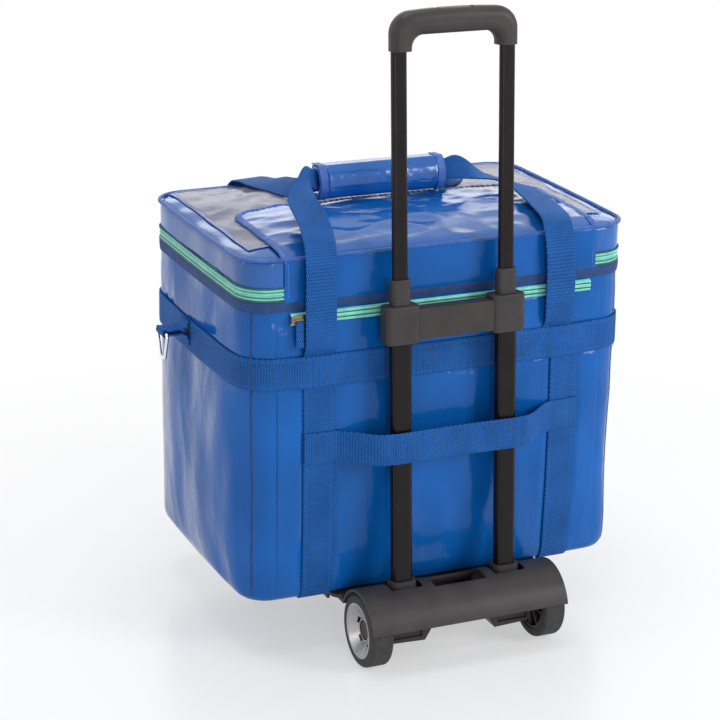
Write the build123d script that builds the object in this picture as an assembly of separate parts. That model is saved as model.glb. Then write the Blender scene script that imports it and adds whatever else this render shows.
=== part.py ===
"""Insulated transport bag on a two-tube telescopic trolley, as separate pieces."""
from build123d import *
import os
from math import cos, radians, sin, tan

os.makedirs("parts", exist_ok=True)

# Bag, in millimetres
bag_width = 490.0
bag_depth = 324.0
corner_radius = 36.0
bottom_radius = 9.0
body_wall_height = 361.0
belly_height = 175.0
belly_bow_long = 12.0
belly_bow_short = 8.0
bottom_bow = 4.0
rim_bow = 2.0

# Layers of the walls
skin = 2.0
foam = 10.0
liner = 1.5
layer_gap = 0.3
pocket_skin = 1.4
board = 4.0

# Rim, zips and lid
band_height = 12.0
band_proud = 1.0
zip_height = 14.0
zip_split = 0.6
zip_tape = 1.6
coil = 2.4
lid_wall_height = 33.0
lid_crown = 9.0
lid_foam = 11.0
piping_diameter = 5.0
seam_inset = 48.0
hinge_panel = 8.0
flap_x = 205.0
flap_from_rear = 14.0
flap_length = 188.0
flap_corner = 18.0
flap_bound = 6.0
window_gap = 8.0
window_inset = 22.0
window_corner = 10.0

# Webbing
webbing_width = 38.0
webbing = 2.2
strap_x = 159.0
belt_top = 305.0
strap_standoff = 13.5
strap_foot = 10.0
front_standoff = 16.0
front_arch = 27.8
loop_lift = 14.0
loop_gap = 2.6
hinge_dip = 0.9
sleeve_top = 212.0

# Trolley
wheel_diameter = 88.0
tyre_width = 28.0
rim_diameter = 67.0
wheel_outer_x = 127.0
hub_radius = 14.0
hub_recess = 6.0
axle_diameter = 8.0
axle_behind_bag = 56.0
housing_wall = 3.0
housing_rib = 3.0
housing_rib_inner = 17.0
boss_height = 21.0
boss_wall = 4.5
socket_depth = 34.0
middle_window = 68.0
carrier_half = 15.0
carrier_gap = 0.3
wheel_clearance = 2.5
bag_bottom = 70.0
platform_thickness = 4.0
platform_width = 274.0
platform_reach = 292.0
platform_rib = 3.0
platform_rib_depth = 9.0
foot_x = 110.0
foot_inset = 13.0
foot_width = 28.0
foot_length = 34.0
foot_flare = 12.0
pad = 5.0
tube_spacing = 135.0
tube_lean = 3.5
tube_behind_bag = 48.5
tube_base = 76.0
outer_tube_width = 25.0
outer_tube_depth = 16.0
tube_wall = 1.4
tube_fit = 0.2
outer_tube_length = 352.0
bracket_height = 44.0
bracket_wall = 9.0
collar_height = 30.0
collar_lip = 3.0
mid_tube_start = 24.0
tube_overlap = 105.0
handle_start = 645.0
handle_half_width = 78.0
socket_width = 25.0
handle_height = 46.0
handle_arch = 17.0
handle_depth = 26.0
handle_round = 11.0
handle_corner = 26.0
handle_bend = 14.0
button_floor = 9.0
button_length = 44.0
button_width = 14.0
button_travel = 4.0

# Carry wrap and hardware
wrap_length = 166.0
wrap_shift = -12.0
wrap_height = 40.0
wrap_depth = 30.0
wrap_wall = 5.0
wrap_from_rear = 160.0
wrap_over_hinge = 42.0
folded_height = 16.0
folded_thickness = 5.0
ring_wire = 4.0
ring_height = 32.0
ring_width = 38.0
tab_reach = 26.0
tab_forward = 16.0
slider_length = 18.0
slider_thickness = 3.2
pull_thickness = 1.4
pull_length = 34.0
slider_rest = 184.0
slider_lift = 0.8

# Levels and faces worked out from the sizes above
rim_z = bag_bottom + body_wall_height
band_top = rim_z + band_height
zip_z = band_top + zip_height / 2
lid_base = band_top + zip_height
hinge_z = lid_base + lid_wall_height
wheel_radius = wheel_diameter / 2
housing_inner = wheel_radius + wheel_clearance
housing_outer = housing_inner + housing_wall
reach_behind = axle_behind_bag + housing_outer
reach_ahead = front_standoff + webbing / 2
rear_y = (reach_behind - reach_ahead - bag_depth) / 2
front_y = rear_y + bag_depth
centre_y = (rear_y + front_y) / 2
axle_y = rear_y - axle_behind_bag
axle_z = wheel_radius
seam_x = bag_width / 2 - seam_inset
piping_radius = piping_diameter / 2
belt_z = bag_bottom + belt_top - webbing_width / 2
strap_seat = pocket_skin + 2 * layer_gap
belt_seat = strap_seat + webbing + layer_gap
sleeve_z = bag_bottom + sleeve_top - webbing_width / 2
loop_pivot_z = belt_z + webbing_width / 2 + loop_lift


def save(name, shape):
    """Writes one node of the assembly."""
    export_step(shape, f"parts/{name}.step")


def both_sides(shape):
    """The shape and its mirror image across the middle plane."""
    return Compound(children=[*shape.solids(), *mirror(shape, Plane.YZ).solids()])


def block(x0, x1, y0, y1, z0, z1):
    """Box between two corners."""
    return Pos((x0 + x1) / 2, (y0 + y1) / 2, (z0 + z1) / 2) * Box(x1 - x0, y1 - y0, z1 - z0)


def outline(grow, bow_long, bow_short):
    """Plan of the bag with bowed sides and round corners, grown outward."""
    x = bag_width / 2 + grow
    y = bag_depth / 2 + grow
    sides = [
        ThreePointArc((-x, -y), (0, -y - bow_long), (x, -y)),
        ThreePointArc((x, -y), (x + bow_short, 0), (x, y)),
        ThreePointArc((x, y), (0, y + bow_long), (-x, y)),
        ThreePointArc((-x, y), (-x - bow_short, 0), (-x, -y)),
    ]
    face = make_face(Curve() + sides)
    return Pos(0, centre_y, 0) * fillet(face.vertices(), corner_radius + grow)


def body_form(grow):
    """Bag body grown outward, from its bottom to the rim."""
    low = Pos(0, 0, bag_bottom - grow) * outline(grow, bottom_bow, bottom_bow)
    belly = Pos(0, 0, bag_bottom + belly_height) * outline(grow, belly_bow_long, belly_bow_short)
    high = Pos(0, 0, rim_z) * outline(grow, rim_bow, rim_bow)
    form = loft([low.face(), belly.face(), high.face()])
    edge_radius = bottom_radius + grow
    if edge_radius > skin:
        form = fillet(form.faces().sort_by(Axis.Z)[0].edges(), edge_radius)
    return form


def rim_ring(out, inside, z0, z1):
    """Upright ring that follows the plan at the rim."""
    plan = outline(out, rim_bow, rim_bow) - outline(-inside, rim_bow, rim_bow)
    return Pos(0, 0, z0) * extrude(plan, z1 - z0)


def lid_form(grow):
    """Lid grown outward, a straight wall with a shallow dome on top."""
    wall = Pos(0, 0, lid_base) * extrude(outline(grow, rim_bow, rim_bow), lid_wall_height + grow)
    top = hinge_z + grow
    levels = ((grow, 0.0), (grow - 55.0, 0.75 * lid_crown), (grow - 120.0, lid_crown))
    rings = []
    for inset, rise in levels:
        plan = RectangleRounded(bag_width + 2 * inset, bag_depth + 2 * inset, corner_radius)
        rings.append((Pos(0, centre_y, top + rise) * plan).face())
    rings[0] = (Pos(0, 0, top) * outline(grow, rim_bow, rim_bow)).face()
    return wall + loft(rings)


def make_body():
    """Shell, foam, liner and board of the bag."""
    shell = body_form(0) - body_form(-skin)
    save("bag_shell", shell)
    foam_out = skin + layer_gap
    save("body_insulation", body_form(-foam_out) - body_form(-foam_out - foam))
    liner_out = foam_out + foam + layer_gap
    save("inner_liner", body_form(-liner_out) - body_form(-liner_out - liner))
    floor_z = bag_bottom + liner_out + liner
    board_in = liner_out + liner + 6.0
    plate = outline(-board_in, bottom_bow, bottom_bow)
    save("base_board", Pos(0, 0, floor_z) * extrude(plate, board))
    return liner_out + liner


def make_rim(wall):
    """Binding, lower half of the main zip and the fixed rear wall of the lid."""
    save("rim_binding", rim_ring(band_proud, wall, rim_z, band_top))
    half = (zip_height - zip_split) / 2
    tape_in = zip_tape / 2
    coil_in = coil / 2
    behind_seam = block(-seam_x, seam_x, rear_y - 20, rear_y + 20, band_top, lid_base)
    lower = rim_ring(tape_in, tape_in, band_top, band_top + half)
    lower += rim_ring(coil_in, coil_in, band_top + half - coil, band_top + half)
    save("main_zip_lower", lower - behind_seam)
    upper = rim_ring(tape_in, tape_in, lid_base - half, lid_base)
    upper += rim_ring(coil_in, coil_in, lid_base - half, lid_base - half + coil)
    save("main_zip_upper", upper - behind_seam)
    panel_top = hinge_z - piping_radius - hinge_dip
    panel = rim_ring(0, hinge_panel, band_top, panel_top)
    inset = seam_x - layer_gap
    save("rear_wall_panel", panel & block(-inset, inset, rear_y - 20, rear_y + 40, band_top, panel_top))


def make_lid():
    """Lid skin, foam, liner and piping."""
    notch = block(
        -seam_x, seam_x, rear_y - 20, rear_y + hinge_panel + 1, lid_base - 1, hinge_z - skin
    )
    skin_form = lid_form(0)
    inner = lid_form(-skin) & block(-bag_width, bag_width, -bag_depth, bag_depth, 0, 2 * hinge_z)
    hollow = Pos(0, 0, lid_base - skin) * extrude(outline(-skin, rim_bow, rim_bow), 2 * skin)
    shell = skin_form - inner - hollow - notch
    save("lid_shell", shell)
    tuck = skin + layer_gap
    slab_base = hinge_z - skin - layer_gap - lid_foam
    behind = rear_y + hinge_panel + 1
    room = block(-bag_width, bag_width, behind, front_y, slab_base, 2 * hinge_z)
    save("lid_insulation", lid_form(-tuck) & room)
    sheet = outline(-tuck, rim_bow, rim_bow)
    lining = Pos(0, 0, slab_base - layer_gap - liner) * extrude(sheet, liner)
    save("lid_liner", lining & block(-bag_width, bag_width, behind, front_y, 0, slab_base))
    play = 0.05
    cord = rim_ring(piping_radius, -play, hinge_z - piping_radius, hinge_z + piping_radius)
    levels = cord.faces().filter_by(Axis.Z).sort_by(Axis.Z)
    rims = levels[0].outer_wire().edges() + levels[-1].outer_wire().edges()
    save("lid_piping", fillet(rims, piping_radius - 3 * play))


def make_lid_top():
    """Pocket flap with its binding and the clear document pocket."""
    first = lid_form(layer_gap)
    second = lid_form(layer_gap + pocket_skin)
    third = lid_form(layer_gap + 2 * pocket_skin)
    flap_y0 = rear_y + flap_from_rear
    flap_y1 = flap_y0 + flap_length
    place = Pos(0, (flap_y0 + flap_y1) / 2, 0)
    area = place * extrude(RectangleRounded(2 * flap_x, flap_length, flap_corner), 2 * hinge_z)
    inner_x, inner_y = 2 * (flap_x - flap_bound), flap_length - 2 * flap_bound
    core = place * extrude(RectangleRounded(inner_x, inner_y, flap_corner - flap_bound), 2 * hinge_z)
    above = block(-bag_width, bag_width, -bag_depth, bag_depth, hinge_z, 2 * hinge_z)
    save("lid_flap", (second - first) & core & above)
    save("flap_binding", ((third - first) & (area - core)) & above)
    window_y0 = flap_y1 + window_gap
    window_y1 = front_y - window_inset
    sheet = RectangleRounded(2 * flap_x, window_y1 - window_y0, window_corner)
    window = Pos(0, (window_y0 + window_y1) / 2, 0) * extrude(sheet, 2 * hinge_z)
    save("document_pocket", (second - first) & window & above)


def facing(side):
    """Turn that points a flat piece's Z out of the rear (-1) or front (1) face."""
    return Rot(0, 0, 90 + 90 * side) * Rot(90, 0, 0)


def slider(x, y, z, side):
    """Outer plate of a zip slider, tapered to its nose, with a bridge for the pull."""
    half = slider_length / 2
    nose = 4.0
    wide = 5.5
    plate_thickness = 0.5 * slider_thickness
    corners = [(-half, -nose), (0, -wide), (half, -wide), (half, wide), (0, wide), (-half, nose)]
    plate = extrude(make_face(Polyline(*corners, close=True)), plate_thickness)
    plate = fillet(plate.edges().filter_by(Axis.Z), 1.2)
    bridge = Pos(0, 0, (plate_thickness + slider_thickness) / 2) * Box(
        11, 3, slider_thickness - plate_thickness
    )
    return Pos(x, y, z) * facing(side) * (plate + bridge)


def pull(x, y, z, side):
    """Fabric pull tab that hangs flat against the slider's bridge."""
    wide = 10.0
    drop = 1.5 - pull_length / 2
    tab = Pos(0, drop, 0.1 + pull_thickness / 2) * Box(wide, pull_length, pull_thickness)
    tab = fillet(tab.edges().filter_by(Axis.Z), 2.0)
    return Pos(x, y, z) * facing(side) * tab


def tube_y(z):
    """Where the leaning tube axis is at a height."""
    return rear_y - tube_behind_bag + (z - tube_base) * tan(radians(tube_lean))


def bow_at(z, belly_bow=belly_bow_long):
    """How far the middle of a side bows out at a height."""
    low, mid, high = bag_bottom, bag_bottom + belly_height, rim_z
    to_low = (z - mid) * (z - high) / ((low - mid) * (low - high))
    to_mid = (z - low) * (z - high) / ((mid - low) * (mid - high))
    to_high = (z - low) * (z - mid) / ((high - low) * (high - mid))
    return bottom_bow * to_low + belly_bow * to_mid + rim_bow * to_high


def face_out_rim(x):
    """How far the rim's long side stands out at a place."""
    return rim_bow * (1 - (2 * x / bag_width) ** 2)


def face_out(x, z):
    """How far a long side stands out at a place, from the flat of its corners."""
    return bow_at(z) * (1 - (2 * x / bag_width) ** 2)


def make_pockets():
    """Rear pocket panel with its zip and slider."""
    panel_x = seam_x - 4.0
    zip_top = rim_z - 4.0
    zip_low = zip_top - zip_height
    coil_z = (zip_low + zip_top) / 2
    rear = rear_y - 40
    inside = rear_y + 20
    sheet = body_form(layer_gap + pocket_skin) - body_form(layer_gap)
    panel = block(-panel_x, panel_x, rear, inside, bag_bottom + 10, zip_low - layer_gap)
    save("rear_pocket_panel", sheet & panel)
    tape = sheet & block(-panel_x, panel_x, rear, inside, zip_low, zip_top)
    coil_y = rear_y - bow_at(zip_low) - coil - layer_gap
    teeth = block(-panel_x, panel_x, coil_y, inside, coil_z - coil, coil_z + coil)
    save("pocket_zip", tape + (teeth - body_form(layer_gap)))
    face_y = coil_y - layer_gap
    save("pocket_slider", slider(-slider_rest, face_y, coil_z, -1))
    save("pocket_pull", pull(-slider_rest, face_y - slider_thickness, coil_z, -1))


def make_main_sliders():
    """The two sliders of the main zip, side by side at the front."""
    face_y = front_y + rim_bow + coil / 2 + slider_lift
    x = slider_length / 2 + 3
    for name, place in (("left", -x), ("right", x)):
        save("main_slider_" + name, slider(place, face_y, zip_z, 1))
        save("main_pull_" + name, pull(place, face_y + slider_thickness, zip_z, 1))


def ribbon(points, bend, across, width=webbing_width, thick=webbing):
    """Flat webbing along a path of straight runs and tangent arcs."""
    path = FilletPolyline(*points, radius=bend)
    start = Plane(origin=path @ 0, x_dir=across, z_dir=path % 0)
    return sweep(start * Rectangle(width, thick), path=path)


def make_webbing():
    """Straps sewn round the bag and over the trolley tubes."""
    half = webbing_width / 2
    far = bag_depth
    top = belt_z + half + 1
    sewn = body_form(strap_seat + webbing) - body_form(strap_seat)
    for name, side in (("left", -1), ("right", 1)):
        x0, x1 = sorted((side * (strap_x - half), side * (strap_x + half)))
        save("vertical_strap_" + name, sewn & block(x0, x1, -far, far, bag_bottom - 20, top))
    over = body_form(belt_seat + webbing) - body_form(belt_seat)
    save("belt_webbing", over & block(-bag_width, bag_width, -far, far, belt_z - half, belt_z + half))
    low = sleeve_z - half
    high = sleeve_z + half
    ends = over & block(-strap_x - half, strap_x + half, -far, centre_y, low, high)
    inner_x = strap_x - half + 2
    ends -= block(-inner_x, inner_x, -far, far, low - 1, high + 1)
    start_y = rear_y - face_out(inner_x, sleeve_z) - belt_seat - webbing / 2
    turn_x = tube_spacing / 2 + outer_tube_width / 2 + 5
    out_y = tube_y(low) - outer_tube_depth / 2 - layer_gap - webbing / 2 - 0.3
    points = [
        (-inner_x - 1, start_y, sleeve_z),
        (-turn_x, out_y, sleeve_z),
        (turn_x, out_y, sleeve_z),
        (inner_x + 1, start_y, sleeve_z),
    ]
    save("trolley_strap", ends + ribbon(points, 9.0, (0, 0, 1)))


def make_loops():
    """Carry straps above the belt, and the wrap that holds them together."""
    half = webbing_width / 2
    foot_z = belt_z + half + 1 + layer_gap
    foot_out = face_out(strap_x - half, foot_z) + strap_seat + webbing / 2
    roots = []
    stubs = []
    for side in (-1, 1):
        x = side * strap_x
        rear_path = [
            (x, rear_y - foot_out, foot_z),
            (x, rear_y - foot_out, foot_z + 2.5),
            (x, rear_y - strap_standoff, foot_z + strap_foot),
            (x, rear_y - strap_standoff, hinge_z - 22),
            (x, rear_y - 6.8, hinge_z - 5.8),
        ]
        roots.append(ribbon(rear_path, 4.0, (1, 0, 0)))
        stub_path = [
            (x, front_y + foot_out, foot_z),
            (x, front_y + foot_out, foot_z + 2.5),
            (x, front_y + front_standoff - webbing, loop_pivot_z - loop_gap),
        ]
        stubs.append(ribbon(stub_path, 1.3, (1, 0, 0)))
    save("rear_strap_roots", Compound(children=roots))
    save("front_strap_roots", Compound(children=stubs))

    wrap_y = rear_y + wrap_from_rear
    wrap_back = wrap_y - wrap_depth / 2
    wrap_front = wrap_y + wrap_depth / 2
    wrap_low = hinge_z + wrap_over_hinge - wrap_height / 2
    wrap_high = wrap_low + wrap_height
    end_x0 = wrap_shift - wrap_length / 2
    end_x1 = wrap_shift + wrap_length / 2
    outer = block(end_x0, end_x1, wrap_back, wrap_front, wrap_low, wrap_high)
    outer = fillet(outer.edges().filter_by(Axis.X), 7.0)
    cavity = block(
        end_x0 - 1,
        end_x1 + 1,
        wrap_back + wrap_wall,
        wrap_front + 1,
        wrap_low + wrap_wall,
        wrap_high - wrap_wall,
    )
    save("carry_wrap", outer - cavity)

    bar_z = wrap_low + wrap_wall + layer_gap
    rear_bar = wrap_back + wrap_wall + layer_gap
    front_bar = rear_bar + folded_thickness + 2 * layer_gap
    turn = 14.0
    clear = 2.0
    rest_out = face_out_rim(strap_x - half) + piping_radius + layer_gap + webbing / 2
    loops = []
    for bar_y, back in ((rear_bar, True), (front_bar, False)):
        shape = block(
            end_x0 - clear - turn, end_x1 + clear + turn, bar_y, bar_y + folded_thickness, bar_z,
            bar_z + folded_height,
        )
        for side, end_x in ((-1, end_x0), (1, end_x1)):
            x0, x1 = sorted((end_x + side * clear, end_x + side * (clear + turn)))
            x_mid = (x0 + x1) / 2
            bar_mid = bar_z + folded_height / 2
            if back:
                y0, y1 = wrap_back - 6, bar_y + folded_thickness
                over_y = rear_y - rest_out
                start = (side * strap_x, over_y, hinge_z + 1.6)
                over = (side * strap_x, over_y, hinge_z + 5.6)
                stop = (x_mid, wrap_back - 5, bar_mid)
                bend = 3.0
            else:
                y0, y1 = bar_y, wrap_front + 6
                over_y = front_y + front_standoff
                start = (side * strap_x, over_y, loop_pivot_z)
                over = (side * strap_x, over_y, hinge_z + front_arch)
                stop = (x_mid, wrap_front + 5, bar_mid)
                bend = 14.0
            shape += block(x0, x1, y0, y1, bar_z, bar_z + folded_height)
            shape += carry_strap(start, over, stop, bend)
        loops.append(shape)
    save("rear_carry_loop", loops[0])
    save("front_carry_loop", loops[1])


def carry_strap(start, over, stop, bend):
    """Upright strap that turns over the lid's edge, runs on, and then slants to the wrap."""
    straight_share = 0.2
    start, over, stop = Vector(*start), Vector(*over), Vector(*stop)
    run = stop - over
    knee = Vector(over.X, over.Y + straight_share * run.Y, over.Z + straight_share * run.Z)
    shape = ribbon([start, over, knee], bend, (1, 0, 0))
    slant = stop - knee
    across = Vector(0, 0, 1).cross(Vector(slant.X, slant.Y, 0).normalized())
    back = slant.normalized() * (webbing_width / 8)
    path = Line(knee - back, stop)
    first = Plane(origin=path @ 0, x_dir=across, z_dir=path % 0)
    return shape + sweep(first * Rectangle(webbing_width, webbing), path=path)


def make_side_rings():
    """Webbing tabs on the two ends of the bag, each with a hanging D ring."""
    z = belt_z + 6
    y = centre_y + tab_forward
    belt_x = bag_width / 2 + bow_at(z - 14, belly_bow_short) + belt_seat + webbing
    eye_x = belt_x + layer_gap + tab_reach
    tab_width = 25.0
    tongue = 2 * webbing + 0.2
    eye_out = ring_wire / 2 + layer_gap + webbing
    base = block(belt_x + layer_gap, belt_x + layer_gap + webbing, y - 12.5, y + 12.5, z - 14, z + 10)
    tab = base + block(belt_x + layer_gap, eye_x - 1, y - 12.5, y + 12.5, z - tongue / 2, z + tongue / 2)
    barrel = Rot(90, 0, 0) * Cylinder(eye_out, tab_width)
    tab += Pos(eye_x, y, z) * barrel
    tab -= Pos(eye_x, y, z) * Rot(90, 0, 0) * Cylinder(ring_wire / 2 + layer_gap, tab_width + 2)
    save("side_tabs", both_sides(tab))
    half = ring_width / 2
    tip = 8.0
    corners = [(0, -half, 0), (0, half, 0), (0, tip, -ring_height), (0, -tip, -ring_height)]
    path = FilletPolyline(*corners, radius=3.5, close=True)
    start = Plane(origin=path @ 0, z_dir=path % 0)
    ring = sweep(start * Circle(ring_wire / 2), path=path)
    save("d_ring_right", Pos(eye_x, y, z) * ring)
    save("d_ring_left", Pos(-eye_x, y, z) * ring)


def about_axle(angle_from, angle_to, inner, outer, x0, x1):
    """Part of a ring round the axle; angles run from straight back, over the top, forward."""
    reach = 3 * outer
    ring = Cylinder(outer, x1 - x0) - Cylinder(inner, x1 - x0)
    wedge = [(0, 0)]
    steps = 4
    for i in range(steps + 1):
        angle = radians(angle_from + (angle_to - angle_from) * i / steps)
        wedge.append((-reach * cos(angle), reach * sin(angle)))
    sector = extrude(make_face(Polyline(*wedge, close=True)), x1 - x0, both=True)
    part = ring & sector
    upright = Plane(origin=((x0 + x1) / 2, axle_y, axle_z), x_dir=(0, 1, 0), z_dir=(1, 0, 0))
    return upright * part


def tube_frame():
    """Frame of the leaning tubes: its Z runs up along them from their lower ends."""
    return Pos(0, rear_y - tube_behind_bag, tube_base) * Rot(-tube_lean, 0, 0)


def tube_section(layer):
    """Width, depth and corner radius of tube stage 0, 1 or 2."""
    step = 2 * (tube_wall + tube_fit)
    return outer_tube_width - layer * step, outer_tube_depth - layer * step, 6.0 - 0.8 * layer


def bar(section, grow, low, high):
    """Solid bar of a tube section, grown all round, between two stations."""
    width, depth, radius = section
    face = RectangleRounded(width + 2 * grow, depth + 2 * grow, radius + grow)
    return Pos(0, 0, low) * extrude(face, high - low)


def tube(layer, low, high):
    """Hollow tube of one stage between two stations."""
    section = tube_section(layer)
    return bar(section, 0, low, high) - bar(section, -tube_wall, low - 1, high + 1)


def at_tubes(shape):
    """The shape once on each of the two tube axes, in the trolley's place."""
    pair = [Pos(side * tube_spacing / 2, 0, 0) * shape for side in (-1, 1)]
    return [tube_frame() * piece for piece in pair]


def make_housing():
    """Moulded cover of the wheels with sockets for the tubes, and the carriers under it."""
    half_width = wheel_outer_x
    rib_out = half_width - tyre_width - 4
    rib_in = tube_spacing / 2 - outer_tube_width / 2 - 16
    shell = about_axle(14, 152, housing_inner, housing_outer, -half_width, half_width)
    for x in (-rib_out, -rib_in, rib_in, rib_out):
        x0, x1 = x - housing_rib / 2, x + housing_rib / 2
        shell += about_axle(24, 146, housing_rib_inner, housing_inner + 1, x0, x1)
    floor_z = tube_base - 4
    for side in (-1, 1):
        x0, x1 = sorted((side * rib_in, side * rib_out))
        shell += block(x0, x1, axle_y - 14, axle_y + 30, floor_z - 4, floor_z)
    section = tube_section(0)
    flange_z = bag_bottom - platform_thickness
    shell += block(-half_width, half_width, rear_y - 22, rear_y + 10, flange_z - 5, flange_z)
    arch = Pos(0, axle_y, axle_z) * Rot(0, 90, 0) * Cylinder(housing_inner, 2 * half_width)
    arch &= block(-half_width, half_width, axle_y, 0, 0, flange_z + 4)
    wheel_side = rib_out + housing_rib
    shell -= arch - block(-wheel_side, wheel_side, axle_y - 1, 1, -1, flange_z + 5)
    window = outer_tube_width + 2 * boss_wall + 7
    opening = extrude(RectangleRounded(window, socket_depth, 3), 60)
    for place in at_tubes(Pos(0, -1, 4) * opening):
        shell -= place
    half_window = middle_window / 2
    window_low = axle_z + 30
    shell -= block(-half_window, half_window, axle_y - 14, axle_y + 31, window_low, bag_bottom + 50)
    for side in (-1, 1):
        x0, x1 = sorted((side * (rib_in - 10.3), side * (rib_out - housing_rib + carrier_gap)))
        y0, y1 = axle_y - carrier_half - carrier_gap, axle_y + carrier_half + carrier_gap
        shell -= block(x0, x1, y0, y1, axle_z - 20, floor_z - 4)
    for place in at_tubes(bar(section, boss_wall, -4, boss_height)):
        shell += place
    for place in at_tubes(bar(section, 0.1, 0, boss_height + 1)):
        shell -= place
    save("wheel_housing", shell)

    low = axle_z - 17
    high = floor_z - 4
    inner_foot = rib_in + 3
    outer_face = rib_out - housing_rib
    profile = Polyline(
        (outer_face, high), (outer_face, low), (inner_foot + 4, low - 2), (rib_in - 10, high - 14),
        (rib_in - 10, high), close=True,
    )
    upright = Plane(origin=(0, axle_y, 0), x_dir=(1, 0, 0), z_dir=(0, -1, 0))
    carrier = upright * extrude(make_face(profile), carrier_half, both=True)
    carrier = fillet(carrier.edges().filter_by(Axis.Y), 1.5)
    pocket_y = axle_y - carrier_half
    pocket = block(inner_foot + 8, outer_face - 3, pocket_y - 1, pocket_y + 2.5, low + 4, axle_z + 9)
    carrier -= pocket
    carrier -= Pos(0, axle_y, axle_z) * Rot(0, 90, 0) * Cylinder(axle_diameter / 2 + 0.1, 4 * half_width)
    save("axle_carriers", both_sides(carrier))


def make_platform():
    """Ribbed plate under the bag with its two front feet."""
    top = bag_bottom
    low = top - platform_thickness
    y0 = rear_y - 8
    y1 = rear_y + platform_reach
    half = platform_width / 2
    plate = block(-half, half, y0, y1, low, top)
    plate = fillet(plate.edges().filter_by(Axis.Z), 14)
    cell_x = platform_width / 4
    cell_y = (platform_reach - 30) / 4
    for i in range(4):
        for j in range(1, 4):
            x = -half + cell_x * (i + 0.5)
            y = rear_y + 22 + cell_y * (j + 0.5)
            hole = Pos(x, y, low - 1) * extrude(RectangleRounded(cell_x - 20, cell_y - 20, 8), 6)
            plate -= hole
    rib_low = low - platform_rib_depth
    for i in range(5):
        x = -half + platform_rib + (platform_width - 2 * platform_rib) * i / 4
        plate += block(x - platform_rib / 2, x + platform_rib / 2, rear_y + 16, y1 - 16, rib_low, low)
    for j in range(1, 5):
        y = rear_y + 22 + cell_y * j
        reach = half - platform_rib
        plate += block(-reach, reach, y - platform_rib / 2, y + platform_rib / 2, rib_low, low)
    save("support_platform", plate)
    foot_y = y1 - foot_inset
    wide = RectangleRounded(foot_width + foot_flare, foot_length + foot_flare, 9)
    narrow = RectangleRounded(foot_width, foot_length, 8)
    foot = loft([(Pos(0, 0, pad) * narrow).face(), (Pos(0, 0, rib_low) * wide).face()])
    pad_shape = extrude(narrow, pad)
    pad_shape = fillet(pad_shape.faces().sort_by(Axis.Z)[0].edges(), 1.5)
    save("platform_feet", both_sides(Pos(foot_x, foot_y, 0) * foot))
    save("foot_pads", both_sides(Pos(foot_x, foot_y, 0) * pad_shape))
    flange_low = low - 5
    screws = []
    for x in (-88, -34, 34, 88):
        head = Cylinder(4.2, 2.6, align=(Align.CENTER, Align.CENTER, Align.MAX))
        head -= Pos(0, 0, -2.6) * Box(1.2, 6, 2.4)
        screws.append(Pos(x, rear_y + 3, flange_low) * head)
    save("housing_screws", Compound(children=screws))


def make_wheels():
    """Axle, its end caps, and the two wheels."""
    end = wheel_outer_x - 6 - hub_recess
    rod = Rot(0, 90, 0) * Cylinder(axle_diameter / 2, 2 * end)
    save("axle", Pos(0, axle_y, axle_z) * rod)
    cap_radius = hub_radius - 2.2
    cap = Rot(0, 90, 0) * Cylinder(cap_radius, 3, align=(Align.CENTER, Align.CENTER, Align.MIN))
    cap = fillet(cap.edges().sort_by(Axis.X)[-1], 1.0)
    save("axle_caps", both_sides(Pos(end, axle_y, axle_z) * cap))
    rim = rim_diameter / 2
    for name, side in (("left", -1), ("right", 1)):
        place = Pos(side * wheel_outer_x, axle_y, axle_z) * Rot(0, side * 90, 0)
        middle = Pos(0, 0, -tyre_width / 2)
        tyre = Cylinder(wheel_radius, tyre_width)
        tyre = fillet(tyre.edges().filter_by(GeomType.CIRCLE), 4.5)
        tyre -= Cylinder(rim + 0.6, tyre_width + 2)
        save("tyre_" + name, place * middle * tyre)
        core = Cylinder(rim + 0.5, tyre_width - 3) - Cylinder(rim - 3, tyre_width)
        core += Pos(0, 0, -1) * Cylinder(rim - 2, 3)
        for i in range(9):
            spoke = Pos(rim / 2 + 3, 0, -7) * Box(rim - 8, 2.2, 10)
            core += Rot(0, 0, 40 * i) * spoke
        core += Pos(0, 0, -3.6 - hub_recess / 2) * Cylinder(8.8, tyre_width - 9 - hub_recess)
        core -= Cylinder(axle_diameter / 2 + 0.15, 2 * tyre_width)
        save("wheel_core_" + name, place * middle * core)
        deep = hub_recess + 5.4
        ring = hub_recess + 2.0
        under = deep + 1.4
        bore = hub_radius - 1.8
        profile = Polyline(
            (rim, 0), (rim - 3, 0), (hub_radius + 1.5, -deep), (hub_radius, -deep),
            (hub_radius, -ring), (bore, -ring), (bore, -under), (hub_radius + 1.9, -under),
            (rim - 3, -1.4), (rim, -1.4), close=True,
        )
        upright = Plane(origin=(0, 0, 0), x_dir=(1, 0, 0), z_dir=(0, -1, 0))
        dish = revolve(upright * make_face(profile), Axis.Z)
        for i in range(5):
            dish -= Rot(0, 0, 72 * i) * (Pos(hub_radius + 4, 0, -deep) * Box(4, 9, 8))
        save("rim_cover_" + name, place * dish)


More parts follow.
